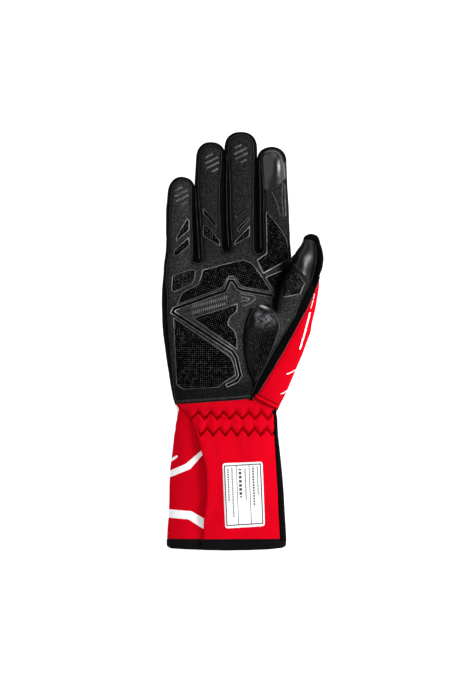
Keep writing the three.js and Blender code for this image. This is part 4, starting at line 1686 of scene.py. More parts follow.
@dataclass
class Hand:
    """The glove above the wrist seam: suede palm, strips, tip patches and red back.

    Attributes:
        shop: shared materials and trees.
        seam_depth: how far the panels draw in at their seams.
        seam_width: how wide that draw is.
        puff: how far the panels stand out between their seams.
        sunk: how far all the cloth lies lower.
        painted_light: how light the suede is painted in the middle of the palm.
        rounds: how often the hull is smoothed.
    """

    shop: Workshop
    seam_depth: float = 0.55
    seam_width: float = 0.9
    puff: float = 0.35
    sunk: float = 0.1
    painted_light: float = 0.88
    rounds: int = 9

    SHORTEST_RIM = 30
    SEAM_LOW = 0.5
    SIDE_START, VALLEY_START = 180.0, 200.0

    def build(self) -> Surface:
        """Builds and dresses the hand.

        Returns:
            The surface that the raised grips are laid on.
        """
        hull = self._relieved(self._hull())
        surface = Surface(hull)
        hull, above = hull.divided(self._above_wrist(hull.points))
        self._panels(self._marked(hull.kept(above)))
        self._valley_seams(surface)
        return surface

    def _hull(self) -> Skin:
        """One cloth over the trunk and all five digits, with the digits held apart while it forms.

        Returns:
            The cloth, with its digits back in their places.
        """
        low, web, high = TRUNK_ROWS
        places = np.concatenate([np.arange(low, web, 1.5), np.arange(web, high, 0.4)])
        angle = 2.0 * math.pi * np.arange(TRUNK_SIDES) / TRUNK_SIDES
        rings = trunk_points(places[:, None], angle[None, :])
        start = np.array([0.0, places[0], MID_HEIGHT])
        end = np.array([ARCH_CENTRE, places[-1] + 0.4, 10.5])
        forms = [loft(rings, start, end)]
        for digit in DIGITS.values():
            form = digit.surface()
            form.points[:, 0] += digit.held(form.points[:, 1])
            forms.append(form)
        crossing = joined(forms)
        mesh = bpy.data.meshes.new("hull")
        mesh.from_pydata(crossing.points.tolist(), [], crossing.triangles.tolist())
        cloth = added("hull", mesh)
        remesh = cloth.modifiers.new("one cloth", "REMESH")
        remesh.mode = "VOXEL"
        remesh.voxel_size = HULL_CELL
        settle(cloth)
        skin = self._read(cloth).smoothed(self.rounds)
        bpy.data.objects.remove(cloth)
        skin.points[:, 0] -= self._push(skin.points)
        skin.points[:, 2] = np.maximum(skin.points[:, 2], FLOOR_SKIN)
        return skin

    @staticmethod
    def _read(cloth: Object) -> Skin:
        """The triangles of an object's mesh.

        Args:
            cloth: the object.

        Returns:
            Its surface.
        """
        mesh = cloth.data
        mesh.calc_loop_triangles()
        points = np.empty(len(mesh.vertices) * 3)
        mesh.vertices.foreach_get("co", points)
        triangles = np.empty(len(mesh.loop_triangles) * 3, np.int32)
        mesh.loop_triangles.foreach_get("vertices", triangles)
        return Skin(points.reshape(-1, 3), triangles.reshape(-1, 3).astype(int))

    @staticmethod
    def _push(points: Array) -> Array:
        """How far each point of the spread cloth has been moved aside with its digit.

        Args:
            points: the cloth's points.

        Returns:
            The nearest digit's push at each of them.
        """
        gaps, pushes = [], []
        for digit in DIGITS.values():
            pushes.append(digit.held(points[:, 1]))
            gaps.append(np.abs(points[:, 0] - digit.table.at(points[:, 1])["x"] - pushes[-1]))
        return np.choose(np.argmin(gaps, axis=0), pushes)

    @staticmethod
    def _above_wrist(points: Array) -> Array:
        """How far points lie above the wrist seam."""
        return points[:, 1] - line_at(WRIST_SEAM, points[:, 0], along=0) - GAP / 2.0

    @staticmethod
    def _front(points: Array) -> Array:
        """How deep points lie in the suede front.

        Args:
            points: the points.

        Returns:
            Their depths, negative outside.
        """
        x, y, z = points.T
        parts = []
        for name in FINGERS:
            inside = depth_in(DIGITS[name].outline(FINGER_FRONT_INSET), points)
            parts.append(np.minimum(inside, z - DIGITS[name].front_low))
        left, start, end = INDEX_WRAP
        wrapped = depth_in(DIGITS["index"].outline(INDEX_WRAP_INSET), points)
        parts.append(np.min([wrapped, z - DIGITS["index"].front_low, x - left, y - start, end - y], axis=0))
        for outline, low in ((THUMB_FRONT, THUMB_FRONT_LOW), (PALM_FRONT, PALM_FRONT_LOW)):
            parts.append(np.minimum(depth_in(rounded(outline, PANEL_CORNER), points), z - low))
        deepest = np.max(parts, axis=0)
        front = deepest + WEB_ROUND * np.log(np.exp((np.array(parts) - deepest) / WEB_ROUND).sum(axis=0))
        for line, narrow, wide, _ in VALLEYS:
            gap, passed = line_gap(line, points)
            front = np.minimum(front, gap - narrow - (wide - narrow) * ease(passed, 0.0, 0.4))
        return front

    @staticmethod
    def _back(points: Array) -> Array:
        """How deep points lie in the red back.

        Args:
            points: the points.

        Returns:
            Their depths, negative outside.
        """
        z = points[:, 2]
        outlines = [(DIGITS[name].outline(FINGER_BACK_INSET), BACK_HIGH) for name in FINGERS]
        outlines.append((DIGITS["thumb"].outline(FINGER_BACK_INSET, THUMB_LEAVES), THUMB_BACK_HIGH))
        outlines.append((rounded(BACK_TRUNK, PANEL_CORNER), BACK_HIGH))
        parts = [np.minimum(depth_in(outline, points), high - z) for outline, high in outlines]
        return np.max([*parts, depth_in(RED_WRAP, points)], axis=0)

    def _relieved(self, hull: Skin) -> Skin:
        """Presses seams and folds into the cloth and lets it swell between them.

        Args:
            hull: the plain cloth.

        Returns:
            The worked cloth.
        """
        points, normals = hull.points, hull.normals()
        x, y = points[:, 0], points[:, 1]
        seam = np.minimum(np.abs(self._front(points)), np.abs(self._back(points)))
        lift = self.puff * (1.0 - np.exp(-seam / 3.0)) - self.seam_depth * bump(seam, self.seam_width)
        lift += uneven(points, (0.3, 17.0, 3.1), (0.12, 6.0, 7.7))
        lift -= self.sunk
        moved = points + normals * lift[:, None]
        facing_up = ease(normals[:, 2], -0.1, 0.5)
        for line, start_depth, end_depth, width in CREASES:
            gap, passed = line_gap(line, points)
            depth = start_depth + (end_depth - start_depth) * passed
            moved[:, 2] -= depth * bump(gap, width) * facing_up
        for (middle_x, middle_y), (reach_x, reach_y), height in BULGES:
            far = ((x - middle_x) / reach_x) ** 2 + ((y - middle_y) / reach_y) ** 2
            moved[:, 2] += height * np.exp(-far) * facing_up
        (pivot_x, pivot_y), soft, slope = THUMB_TURN
        inside = ease(depth_in(rounded(PATCHES["thumb_tip_patch"], PATCH_CORNER), points), -8.0, 2.0)
        inside *= ease(depth_in(DIGITS["thumb"].outline(1.0, THUMB_LEAVES), points), 0.0, soft)
        moved[:, 2] -= slope * (x - pivot_x - 0.2 * (y - pivot_y)) * inside * facing_up
        moved[:, 2] = np.maximum(moved[:, 2], FLOOR_SKIN)
        return Skin(moved, hull.triangles).smoothed(1)

    def _marked(self, hull: Skin) -> Skin:
        """Cuts the panels' outlines into the hull and marks each panel.

        Args:
            hull: the cloth above the wrist.

        Returns:
            The same with each triangle marked.
        """
        hull, back = hull.divided(self._back(hull.points))
        hull.marks = np.where(back, Mark.BACK.value, Mark.STRIP.value)
        hull, front = hull.divided(self._front(hull.points))
        free = hull.marks == Mark.STRIP.value
        hull.marks = np.where(front & free, Mark.FRONT.value, hull.marks)
        for line, width in HAND_LINES:
            depth = depth_in(ribbon(line, width), hull.points)
            hull, ink = hull.divided(np.minimum(depth, hull.points[:, 2] - 9.0), 0.1)
            hull.marks = np.where(ink & (hull.marks == Mark.BACK.value), Mark.INK.value, hull.marks)
        return hull

    def _panels(self, hull: Skin) -> None:
        """Cuts the hull into its panels, thickens them, and sews them together.

        Args:
            hull: the cloth, with its panels marked.
        """
        shop = self.shop
        front = hull.kept(hull.marks == Mark.FRONT.value)
        back = hull.kept(np.isin(hull.marks, (Mark.BACK.value, Mark.INK.value)))
        strips = hull.kept(hull.marks == Mark.STRIP.value)
        front_lines, back_lines = self._seam_lines(front), self._seam_lines(back)
        back.marks = (back.marks == Mark.INK.value).astype(int)
        publish_wall("back_panel", back, "red_fabric", [shop.red, shop.white])
        for name, outline in PATCHES.items():
            front, inside = front.divided(depth_in(rounded(outline, PATCH_CORNER), front.points))
            patch = front.kept(inside)
            leather = shop.smooth if name == "index_tip_patch" else shop.worn_leather
            publish_wall(name, patch, "smooth_leather", [leather])
            front_lines += self._seam_lines(patch)
            front = front.kept(~inside)
        publish_wall("palm_panel", front, "suede", [shop.suede], self._painted_suede_shading(front.points))
        for name, depth in self._strip_fields().items():
            strips, inside = strips.divided(depth(strips.points))
            publish_wall(name, strips.kept(inside), "knit", [shop.dark_knit])
            strips = strips.kept(~inside)
        shop.piped("front_seams", "knit", front_lines, shop.grey_thread, closed=True)
        shop.piped("back_seams", "knit", back_lines, shop.black_thread, closed=True)

    def _painted_suede_shading(self, points: Array) -> Array:
        """How light the suede is painted, from 1 down to 0, and how dark its painted shade is in its seams
        and folds, down to -1.

        Args:
            points: the points.

        Returns:
            The painted light and shade at each point.
        """
        x, y = points[:, 0], points[:, 1]
        # Painted shade towards the fingers, the heel, the outer side and the wrist, and in the seams, the
        # thumb's crotch and the creases; the palm's middle keeps the painted light.
        fingers = 0.68 * ease(y, 210.0, 236.0) * ease(x, -30.0, -22.0)
        heel = 1.05 * (1.0 - ease(y, 123.0, 143.0))
        outer_side = 0.15 * (1.0 - ease(x, -36.0, -24.0))
        over = y - line_at(WRIST_SEAM, x, along=0)
        wrist = 0.2 * (1.0 - ease(over, 10.0, 16.0)) + 0.5 * (1.0 - ease(over, 2.5, 6.0))
        seams = 0.9 * bump(self._front(points), 1.1)
        thumb_web = 1.1 * ease(x, 38.5, 43.0) * bump(y - 218.0, 11.0)
        light_tone = self.painted_light - fingers - (heel + outer_side) - wrist - (seams + thumb_web)
        for line, _, _, width in CREASES:
            light_tone -= 2.2 * bump(line_gap(line, points)[0], 0.95 * width)
        return np.clip(light_tone, -1.0, 1.0)

    @staticmethod
    def _strip_fields() -> dict[str, DepthField]:
        """For each strip in turn, how deep points lie in it. The last one takes what is left.

        Returns:
            Each strip's field, by the strip's name.
        """
        tips = {name: float(digit.reach(digit.tip)[0]) for name, digit in DIGITS.items()}
        axis = (*THUMB_AXIS, (tips["thumb"], 2.0 * FAR))
        thumb = DIGITS["thumb"].outline(-1.0, THUMB_LEAVES)

        def outer_thumb(points: Array) -> Array:
            """The thumb's outer side."""
            return points[:, 0] - line_at(axis, points[:, 1])

        def inner_thumb(points: Array) -> Array:
            """The thumb's inner side, above the red back."""
            return np.minimum(depth_in(thumb, points), points[:, 2] - THUMB_BACK_HIGH)

        def beyond(x: float, y: float) -> DepthField:
            """What lies past an X, above a Y."""
            return lambda points: np.minimum(points[:, 0] - x, points[:, 1] - y)

        return {
            "strip_thumb_outer": outer_thumb,
            "strip_thumb_inner": inner_thumb,
            "strip_index_side": beyond(tips["index"], Hand.SIDE_START),
            "strip_middle_index": beyond(tips["middle"], Hand.VALLEY_START),
            "strip_ring_middle": beyond(tips["ring"], Hand.VALLEY_START),
            "strip_pinky_ring": beyond(tips["pinky"], Hand.VALLEY_START),
            "strip_ulnar": lambda points: np.ones(len(points)),
        }

    @staticmethod
    def _seam_lines(skin: Skin) -> list[Array]:
        """Smooth lines round a panel, just proud of the cloth.

        Args:
            skin: the panel.

        Returns:
            The points of each line.
        """
        normals = skin.normals()
        lines = []
        for loop in skin.rim_loops():
            if len(loop) < Hand.SHORTEST_RIM:
                continue
            line = skin.points[loop] + PROUD * normals[loop]
            for _ in range(4):
                line = 0.5 * line + 0.25 * (np.roll(line, 1, axis=0) + np.roll(line, -1, axis=0))
            line[:, 2] = np.maximum(line[:, 2], Hand.SEAM_LOW)
            lines.append(line)
        return lines

    def _valley_seams(self, surface: Surface) -> None:
        """Lays piping down the strips between the fingers.

        Args:
            surface: the hand's surface.
        """
        moved = (np.array(line) + (beside, 0.0) for line, _, _, beside in VALLEYS)
        lines = [surface.course(line, 1.0, PROUD) for line in moved]
        self.shop.piped("valley_seams", "knit", lines, self.shop.grey_thread)


# Raised fields: how far their rows of dots are turned, in degrees, and their corners.
GRIPS = {
    "grip_ulnar": (0.0, (
        (-41.9, 212.9), (-27.6, 217.8), (-23.2, 217.3), (-24.4, 209.4), (-26.2, 206.5), (-39.9, 199.7),
        (-42.4, 200.6),
    )),
    "grip_upper": (17.0, (
        (-18.6, 217.3), (3.8, 223.2), (12.6, 225.1), (19.2, 222.9), (25.4, 215), (35.2, 199.8),
        (13.4, 203.2), (10.6, 204.8), (5.6, 211.8), (1.4, 211.6), (-2.4, 203.6), (-8, 201.1),
        (-38.6, 189.6), (-34.5, 199.7), (-22.3, 205.7), (-19.8, 211.9),
    )),
    "grip_centre": (17.0, (
        (-26.6, 180), (8.8, 191.7), (8.2, 185), (2.8, 180.6), (1.2, 175.2), (6.6, 170.3), (8.5, 163.3),
        (8.5, 155.2),
    )),
    "grip_heel": (0.0, (
        (-41, 181.2), (3.2, 150.6), (5.6, 145.6), (7.6, 136.4), (-1.6, 130.6), (-6, 126.6), (-33.3, 125),
        (-38.3, 128.7),
    )),
    "grip_index": (-35.0, (
        (30.3, 263.3), (42, 248.5), (46.2, 240.5), (47.4, 232), (47, 224.5), (44.8, 223.3), (27.9, 213.8),
        (22.9, 224.8), (30.9, 230),
    )),
    "grip_web": (20.0, ((29.4, 211.4), (43.4, 217.4), (43, 209), (37, 198.4))),
    "grip_thumb": (-10.0, (
        (49.4, 217.6), (55.6, 213.6), (60.2, 206.8), (56.7, 198.2), (42.6, 195.4), (44.4, 205),
    )),
    "blade_pinky_upper": (0.0, ((-31, 256.8), (-28.6, 256), (-28.6, 247.9), (-38.9, 238.3), (-38.9, 242.6))),
    "blade_pinky_lower": (0.0, ((-29, 242.9), (-28.4, 235.6), (-38.5, 227.2), (-41, 228.3), (-40.4, 232.5))),
    "blade_ring_upper": (0.0, ((-18, 265.6), (-7.8, 253.3), (-7.4, 247.9), (-18.4, 260.4))),
    "blade_ring_lower": (0.0, ((-18, 252.2), (-14.6, 251.4), (-5.4, 240.2), (-5, 234.8), (-18.2, 243.3))),
    "blade_middle_upper": (0.0, ((16.4, 267.6), (17, 264.6), (6.8, 256), (6.4, 259.4))),
    "blade_middle_centre": (0.0, ((17.6, 258.8), (17.8, 255.6), (9, 245.6), (7.4, 248.6))),
    "blade_middle_lower": (0.0, ((18, 251.6), (17.8, 242.9), (5.2, 235.3), (6.4, 239.4))),
}
THENAR_PAD = (
    (25.2, 191.2), (19.8, 186), (16, 178.1), (14.4, 165.9), (14.8, 154.7), (17.6, 141.1), (22.6, 131.4),
    (27.3, 137.3), (35.8, 157.4), (39.5, 166.5), (41.4, 174.4), (39.5, 180.6), (35.6, 187.6),
    (33, 192),
)
# The middle of the roll at the pad's upper end
PAD_ROLL = (27.5, 188.6)
FRAME_LINE = (
    (36, 197.2), (12, 201.4), (8.6, 202.8), (5, 208.8), (2.2, 208.8), (-1.2, 201), (-40, 187.2),
    (-41.2, 184.5), (4.4, 154.6), (7.4, 150), (10.6, 136), (8, 132), (-0.4, 128),
)

# Thin raised strokes beside the frame, and on the index finger's outer side.
STROKES = (
    ((10.2, 199.2), (21.3, 197.2), (22.2, 194.6), (18.6, 191.5), (12.5, 189.3)),
    ((11, 196.4), (17.4, 195), (16.4, 193.4), (11.4, 193.6)),
)
SIDE_STROKES = (
    ((41.3, 284.5), (45.9, 289.1)),
    ((43.1, 284.5), (42.6, 270.8), (43.9, 257.5)),
    ((44.8, 283.1), (45.7, 258.4)),
    ((34.7, 277.8), (38.6, 269), (41.3, 258.4)),
)

# Slanted bars on three fingertips: their middles, and each bar's steps across and up and its half length.
BAR_TIPS = ((-34.6, 274), (-11, 299.4), (11, 306.4))
BARS = ((-2.2, 5.6, 2.8), (-0.4, 2.0, 4.9), (0.4, -1.8, 4.9), (2.2, -5.6, 2.4))
BAR_SLOPE = 0.5
BAR_WIDTH = 1.5

# Two rows of short ribs: their lines, the step between ribs, each rib's half length, lean and width.
RIB_LINES = (((-26.7, 188.7), (-0.1, 196)), ((-26.3, 184.2), (-0.1, 191.4)))
RIB_STEP, RIB_HALF, RIB_LEAN, RIB_WIDTH = 1.7, 1.3, 1.0, 0.75

# The distance between dots: fields, blades, and the fields that differ.
FIELD_PITCH, BLADE_PITCH = 1.5, 1.3
DOT_PITCH = {"grip_ulnar": 1.05, "grip_thumb": 1.0}
# Painted shine of a rim away from its glints
PLAIN_SHINE = 0.2
LOW_RISE = 0.35

# Painted highlights and shade on the raised rims, where they shine more or less: X, Y, reach and gain.
GLINTS = (
    (34.8, 216.6, 7.5, 1.0), (26.6, 227.4, 5.0, 0.5), (25.7, 218.8, 5.0, 0.4), (-18.1, 215.3, 4.0, 0.5),
    (-1.8, 222.2, 14.0, 0.2), (-42.2, 184.4, 5.5, 0.55), (-0.1, 158.6, 11.0, 0.4),
    (11.1, 143.1, 9.0, 0.35), (5.1, 129.4, 6.0, 0.45), (9.0, 187.8, 5.0, 0.6), (4.2, 176.6, 7.0, 0.4),
    (3.4, 211.0, 5.0, 0.4), (13.7, 201.1, 6.0, 0.3), (57.5, 201.6, 6.0, 0.4), (48.1, 196.8, 7.0, 0.4),
    (-42.2, 205.9, 7.0, 0.2), (-28.3, 251.3, 6.0, 0.6), (-28.3, 239.0, 5.0, 0.45),
    (18.3, 247.8, 5.0, 0.5), (-36.0, 150.0, 17.0, -0.13), (-20.0, 127.0, 14.0, -0.13),
    (43.0, 205.0, 6.0, -0.3), (47.5, 219.0, 6.5, -0.6), (12.0, 262.0, 14.0, -0.12),
    (-12.0, 252.0, 14.0, -0.12),
)


def painted_rim_shine(points: Array) -> Array:
    """The painted shine of raised rims, with painted highlights at the glints and painted shade in the deep
    fold.

    Args:
        points: points of the rims.

    Returns:
        The painted light and shade at each point.
    """
    shine = np.full(len(points), PLAIN_SHINE)
    for x, y, reach, gain in GLINTS:
        shine += gain * bump(np.hypot(points[:, 0] - x, points[:, 1] - y), reach)
    shine -= 1.4 * bump(line_gap(CREASES[0][0], points)[0], 3.0)
    return np.clip(shine, -1.0, 1.0)


@dataclass
class Grips:
    """Silicone grips printed on the palm, each with a rim, painted bright in places, round a dotted field.

    Attributes:
        shop: shared materials and trees.
        ground: the hand's surface.
        rim_rise: how far a rim stands above its field.
        margin: how far the dots keep away from the rim.
    """

    shop: Workshop
    ground: Surface
    rim_rise: float = 0.3
    margin: float = 0.45

    def build(self) -> None:
        """Builds every raised piece on the palm."""
        for name, (turn, outline) in GRIPS.items():
            pitch = DOT_PITCH.get(name, FIELD_PITCH if name.startswith("grip") else BLADE_PITCH)
            self._grip(name, outline, turn, pitch)
        frame_line = ribbon(FRAME_LINE, FRAME_WIDTH + RIM_WIDTH)
        skin = laid_patch(self.ground, frame_line, self._rimmed, RIM_WIDTH, THIN_CELL)[0]
        finishes = [self.shop.rim, self.shop.field]
        publish(mesh_object("grip_frame", skin, finishes, painted_rim_shine(skin.points)), "silicone", "grip_frame")
        self._thin("palm_strokes", [ribbon(line, 1.0) for line in STROKES], shine=0.3)
        self._thin("side_strokes", [ribbon(line, 0.7) for line in SIDE_STROKES], shine=0.1)
        self._thin("tip_bars", self._bars(), shine=0.2)
        self._thin("palm_ribs", self._ribs(), shine=0.24)
        self._pad()

    def _rimmed(self, depth: Array, places: Array) -> Array:
        """Height of a flat field inside a rounded rim.

        Args:
            depth: how far inside the outline points lie.
            places: not used.

        Returns:
            Their heights.
        """
        del places
        body = PRINT_HEIGHT * ease(depth, -0.1, 0.45)
        return body + self.rim_rise * bump(depth - 0.42, 0.3) - 0.4 * ease(depth, 0.6, 1.2)

    def _grip(self, name: str, outline: Outline, turn: float, pitch: float) -> None:
        """Builds one rimmed field with its dots.

        Args:
            name: its node.
            outline: its corners.
            turn: how far its rows of dots are turned, in degrees.
            pitch: the distance between dots.
        """
        skin, depth = laid_patch(self.ground, rounded(outline), self._rimmed, RIM_WIDTH)
        piece = mesh_object(name, skin, [self.shop.rim, self.shop.field], painted_rim_shine(skin.points))
        self._dot(piece, depth, turn, pitch, radius=0.36, height=0.32)
        publish(piece, "silicone", name)

    def _dot(
        self, piece: Object, depth: Array, turn: float, pitch: float, radius: float, height: float
    ) -> None:
        """Sets rows of dots on a piece.

        Args:
            piece: the piece.
            depth: how far inside its outline each point lies.
            turn: how far the rows are turned, in degrees.
            pitch: the distance between dots, in millimetres.
            radius: a dot's radius.
            height: a dot's height.
        """
        set_values(piece, "depth", depth)
        sizes = {"Pitch": pitch * MM, "Radius": radius * MM, "Height": height * MM}
        rows = {"Angle": math.radians(turn), "Inset": RIM_WIDTH + self.margin, "Finish": self.shop.dot}
        run_tree(piece, self.shop.dots, sizes | rows)

    def _thin(self, name: str, outlines: list[Array], shine: float) -> None:
        """Builds low, thin marks as one piece.

        Args:
            name: the piece's name.
            outlines: the marks seen from above.
            shine: their painted shine, the same at every point.
        """
        skin = joined([laid_patch(self.ground, line, self._low, cell=THIN_CELL)[0] for line in outlines])
        publish(mesh_object(name, skin, [self.shop.rim], np.full(len(skin.points), shine)), "silicone")

    @staticmethod
    def _bars() -> list[Array]:
        """Outlines of the slanted bars on three fingertips.

        Returns:
            The outlines.
        """
        outlines = []
        for x, y in BAR_TIPS:
            for across, up, half in BARS:
                reach = np.array([half, BAR_SLOPE * half])
                middle = np.array([x + across, y + up])
                outlines.append(ribbon([middle - reach, middle, middle + reach], BAR_WIDTH))
        return outlines

    @staticmethod
    def _ribs() -> list[Array]:
        """Outlines of two rows of short ribs in the band above the centre field.

        Returns:
            The outlines.
        """
        outlines = []
        for line in RIB_LINES:
            start, end = np.array(line)
            along = (end - start) / np.linalg.norm(end - start)
            across = np.array([-along[1], along[0]])
            for run in np.arange(0.0, np.linalg.norm(end - start), RIB_STEP):
                foot = start + run * along
                head = foot + RIB_HALF * across + RIB_LEAN * along
                outlines.append(ribbon([foot - RIB_HALF * across, head], RIB_WIDTH))
        return outlines

    @staticmethod
    def _low(depth: Array, places: Array) -> Array:
        """Height of a low, rounded rib."""
        del places
        return LOW_RISE * ease(depth, -0.1, 0.45)

    def _pad(self) -> None:
        """The thicker pad on the thumb mound, crowned and wrinkled at its top, with painted highlights
        there.
        """
        skin, depth = laid_patch(self.ground, rounded(THENAR_PAD, PATCH_CORNER), self._crowned, RIM_WIDTH)
        x, y = skin.points[:, 0], skin.points[:, 1]
        falling, rising = self._wrinkles(skin.points)
        # Painted highlights on the wrinkle crests at the top and a painted glint along the roll; the rim has
        # a dim painted shine, brighter towards the thumb's side.
        ridges = bump(falling, 0.16) + 0.7 * bump(rising, 0.16)
        upper = bump(y - 179.5, 5.5) * ease(x, 20.0, 24.0) * (1.0 - ease(x, 36.0, 40.0))
        glint = 0.9 * bump(y - 189.2 + 0.4 * (x - PAD_ROLL[0]), 0.8) * bump(x - 28.0, 4.0)
        rim = 0.03 + 0.07 * ease(x, 28.0, 40.0)
        painted_shading = np.where(depth < RIM_WIDTH, rim, (0.025 + 0.25 * ridges) * upper + glint)
        piece = mesh_object("thenar_pad", skin, [self.shop.rim, self.shop.pad], painted_shading)
        dotted = depth * (1.0 - ease(y, 168.0, 176.0))
        self._dot(piece, dotted, turn=12.0, pitch=1.6, radius=0.3, height=0.25)
        publish(piece, "silicone", "thenar_pad")

    @staticmethod
    def _wrinkles(places: Array) -> tuple[Array, Array]:
        """Two crossing sets of waves. Each has a ridge where it is nought.

        Args:
            places: points on the pad.

        Returns:
            The two waves' values there.
        """
        x, y = places[:, 0], places[:, 1]
        falling = np.stack([0.32 * (x - 0.8 * y), 0.8 * x + y, 0.0 * x], axis=1)
        rising = np.stack([0.32 * (x + 0.5 * y), y - 0.5 * x, 0.0 * x], axis=1)
        return spread_noise(falling, 2.1, 2.3), spread_noise(rising, 1.9, 6.1)

    @classmethod
    def _crowned(cls, depth: Array, places: Array) -> Array:
        """Height of the swollen pad, with creases that fan out at its upper end.

        Args:
            depth: how far inside the pad's outline points lie.
            places: the points.

        Returns:
            Their heights.
        """
        swell = PAD_HEIGHT * (0.5 * ease(depth, -0.1, 0.6) + 0.45 * (1.0 - np.exp(-depth / 5.0)))
        x, y = places[:, 0], places[:, 1]
        falling, rising = cls._wrinkles(places)
        creases = 0.7 * np.abs(falling) + 0.5 * np.abs(rising)
        across, up = x - PAD_ROLL[0], y - PAD_ROLL[1]
        roll = 1.5 * np.exp(-((across / 6.0) ** 2) - ((up + 0.25 * across) / 1.7) ** 2)
        return swell + (0.2 - creases * bump(y - 179.0, 7.5) + roll) * ease(depth, 0.3, 2.0)


@dataclass(frozen=True)
class Zigzag:
    """A row of elastic stitched in a zigzag.

    Attributes:
        middle: its height along the cuff.
        swing: how far it steps up and down.
        peak: X of one of its upper corners.
        pitch: the distance between upper corners.
    """

    middle: float
    swing: float
    peak: float
    pitch: float

    def wave(self, x: Array) -> Array:
        """Y of the zigzag at each X."""
        turn = (x - self.peak) / self.pitch
        return self.middle + self.swing * (1.0 - 4.0 * np.abs(turn - np.round(turn)))

    def gap(self, x: Array, y: Array) -> Array:
        """The distance from the zigzag, positive above it."""
        slope = 4.0 * self.swing / self.pitch
        return (y - self.wave(x)) / math.hypot(1.0, slope)


@dataclass(frozen=True)
class Gather:
    """The cloth on one side of a row of elastic.

    Attributes:
        swell: how far it stands out beside the row.
        reach: how far from the row that lasts.
        groove: how deep the row draws it in.
        width: how wide that groove is.
    """

    swell: float
    reach: float
    groove: float
    width: float


ELASTIC = (Zigzag(105.0, 2.6, -2.7, 9.7), Zigzag(92.4, 2.7, 3.1, 9.1))
ABOVE = Gather(0.5, 4.0, 2.6, 1.5)
BELOW = Gather(1.5, 3.2, 3.6, 0.6)
LABEL_CORNERS = ((-1.0, 18.4), (29.5, 20.2), (27.7, 69.7), (-3.1, 68.5))
LABEL_INK = (0.03, 0.03, 0.03, 1.0)

# Lines on the label as shares of its width and length: middle and half width across, middle and half
# length, and dashes to the whole length, 0 for an unbroken line.
LABEL_RULES = (
    (0.048, 0.015, 0.5, 0.458, 0), (0.952, 0.015, 0.5, 0.458, 0), (0.5, 0.467, 0.044, 0.009, 0),
    (0.5, 0.467, 0.956, 0.009, 0), (0.345, 0.01, 0.5, 0.456, 0), (0.665, 0.01, 0.5, 0.456, 0),
    (0.13, 0.02, 0.66, 0.26, 26), (0.23, 0.02, 0.54, 0.38, 30), (0.43, 0.036, 0.68, 0.22, 16),
    (0.56, 0.018, 0.66, 0.25, 30), (0.76, 0.024, 0.62, 0.31, 24), (0.87, 0.016, 0.7, 0.22, 28),
)


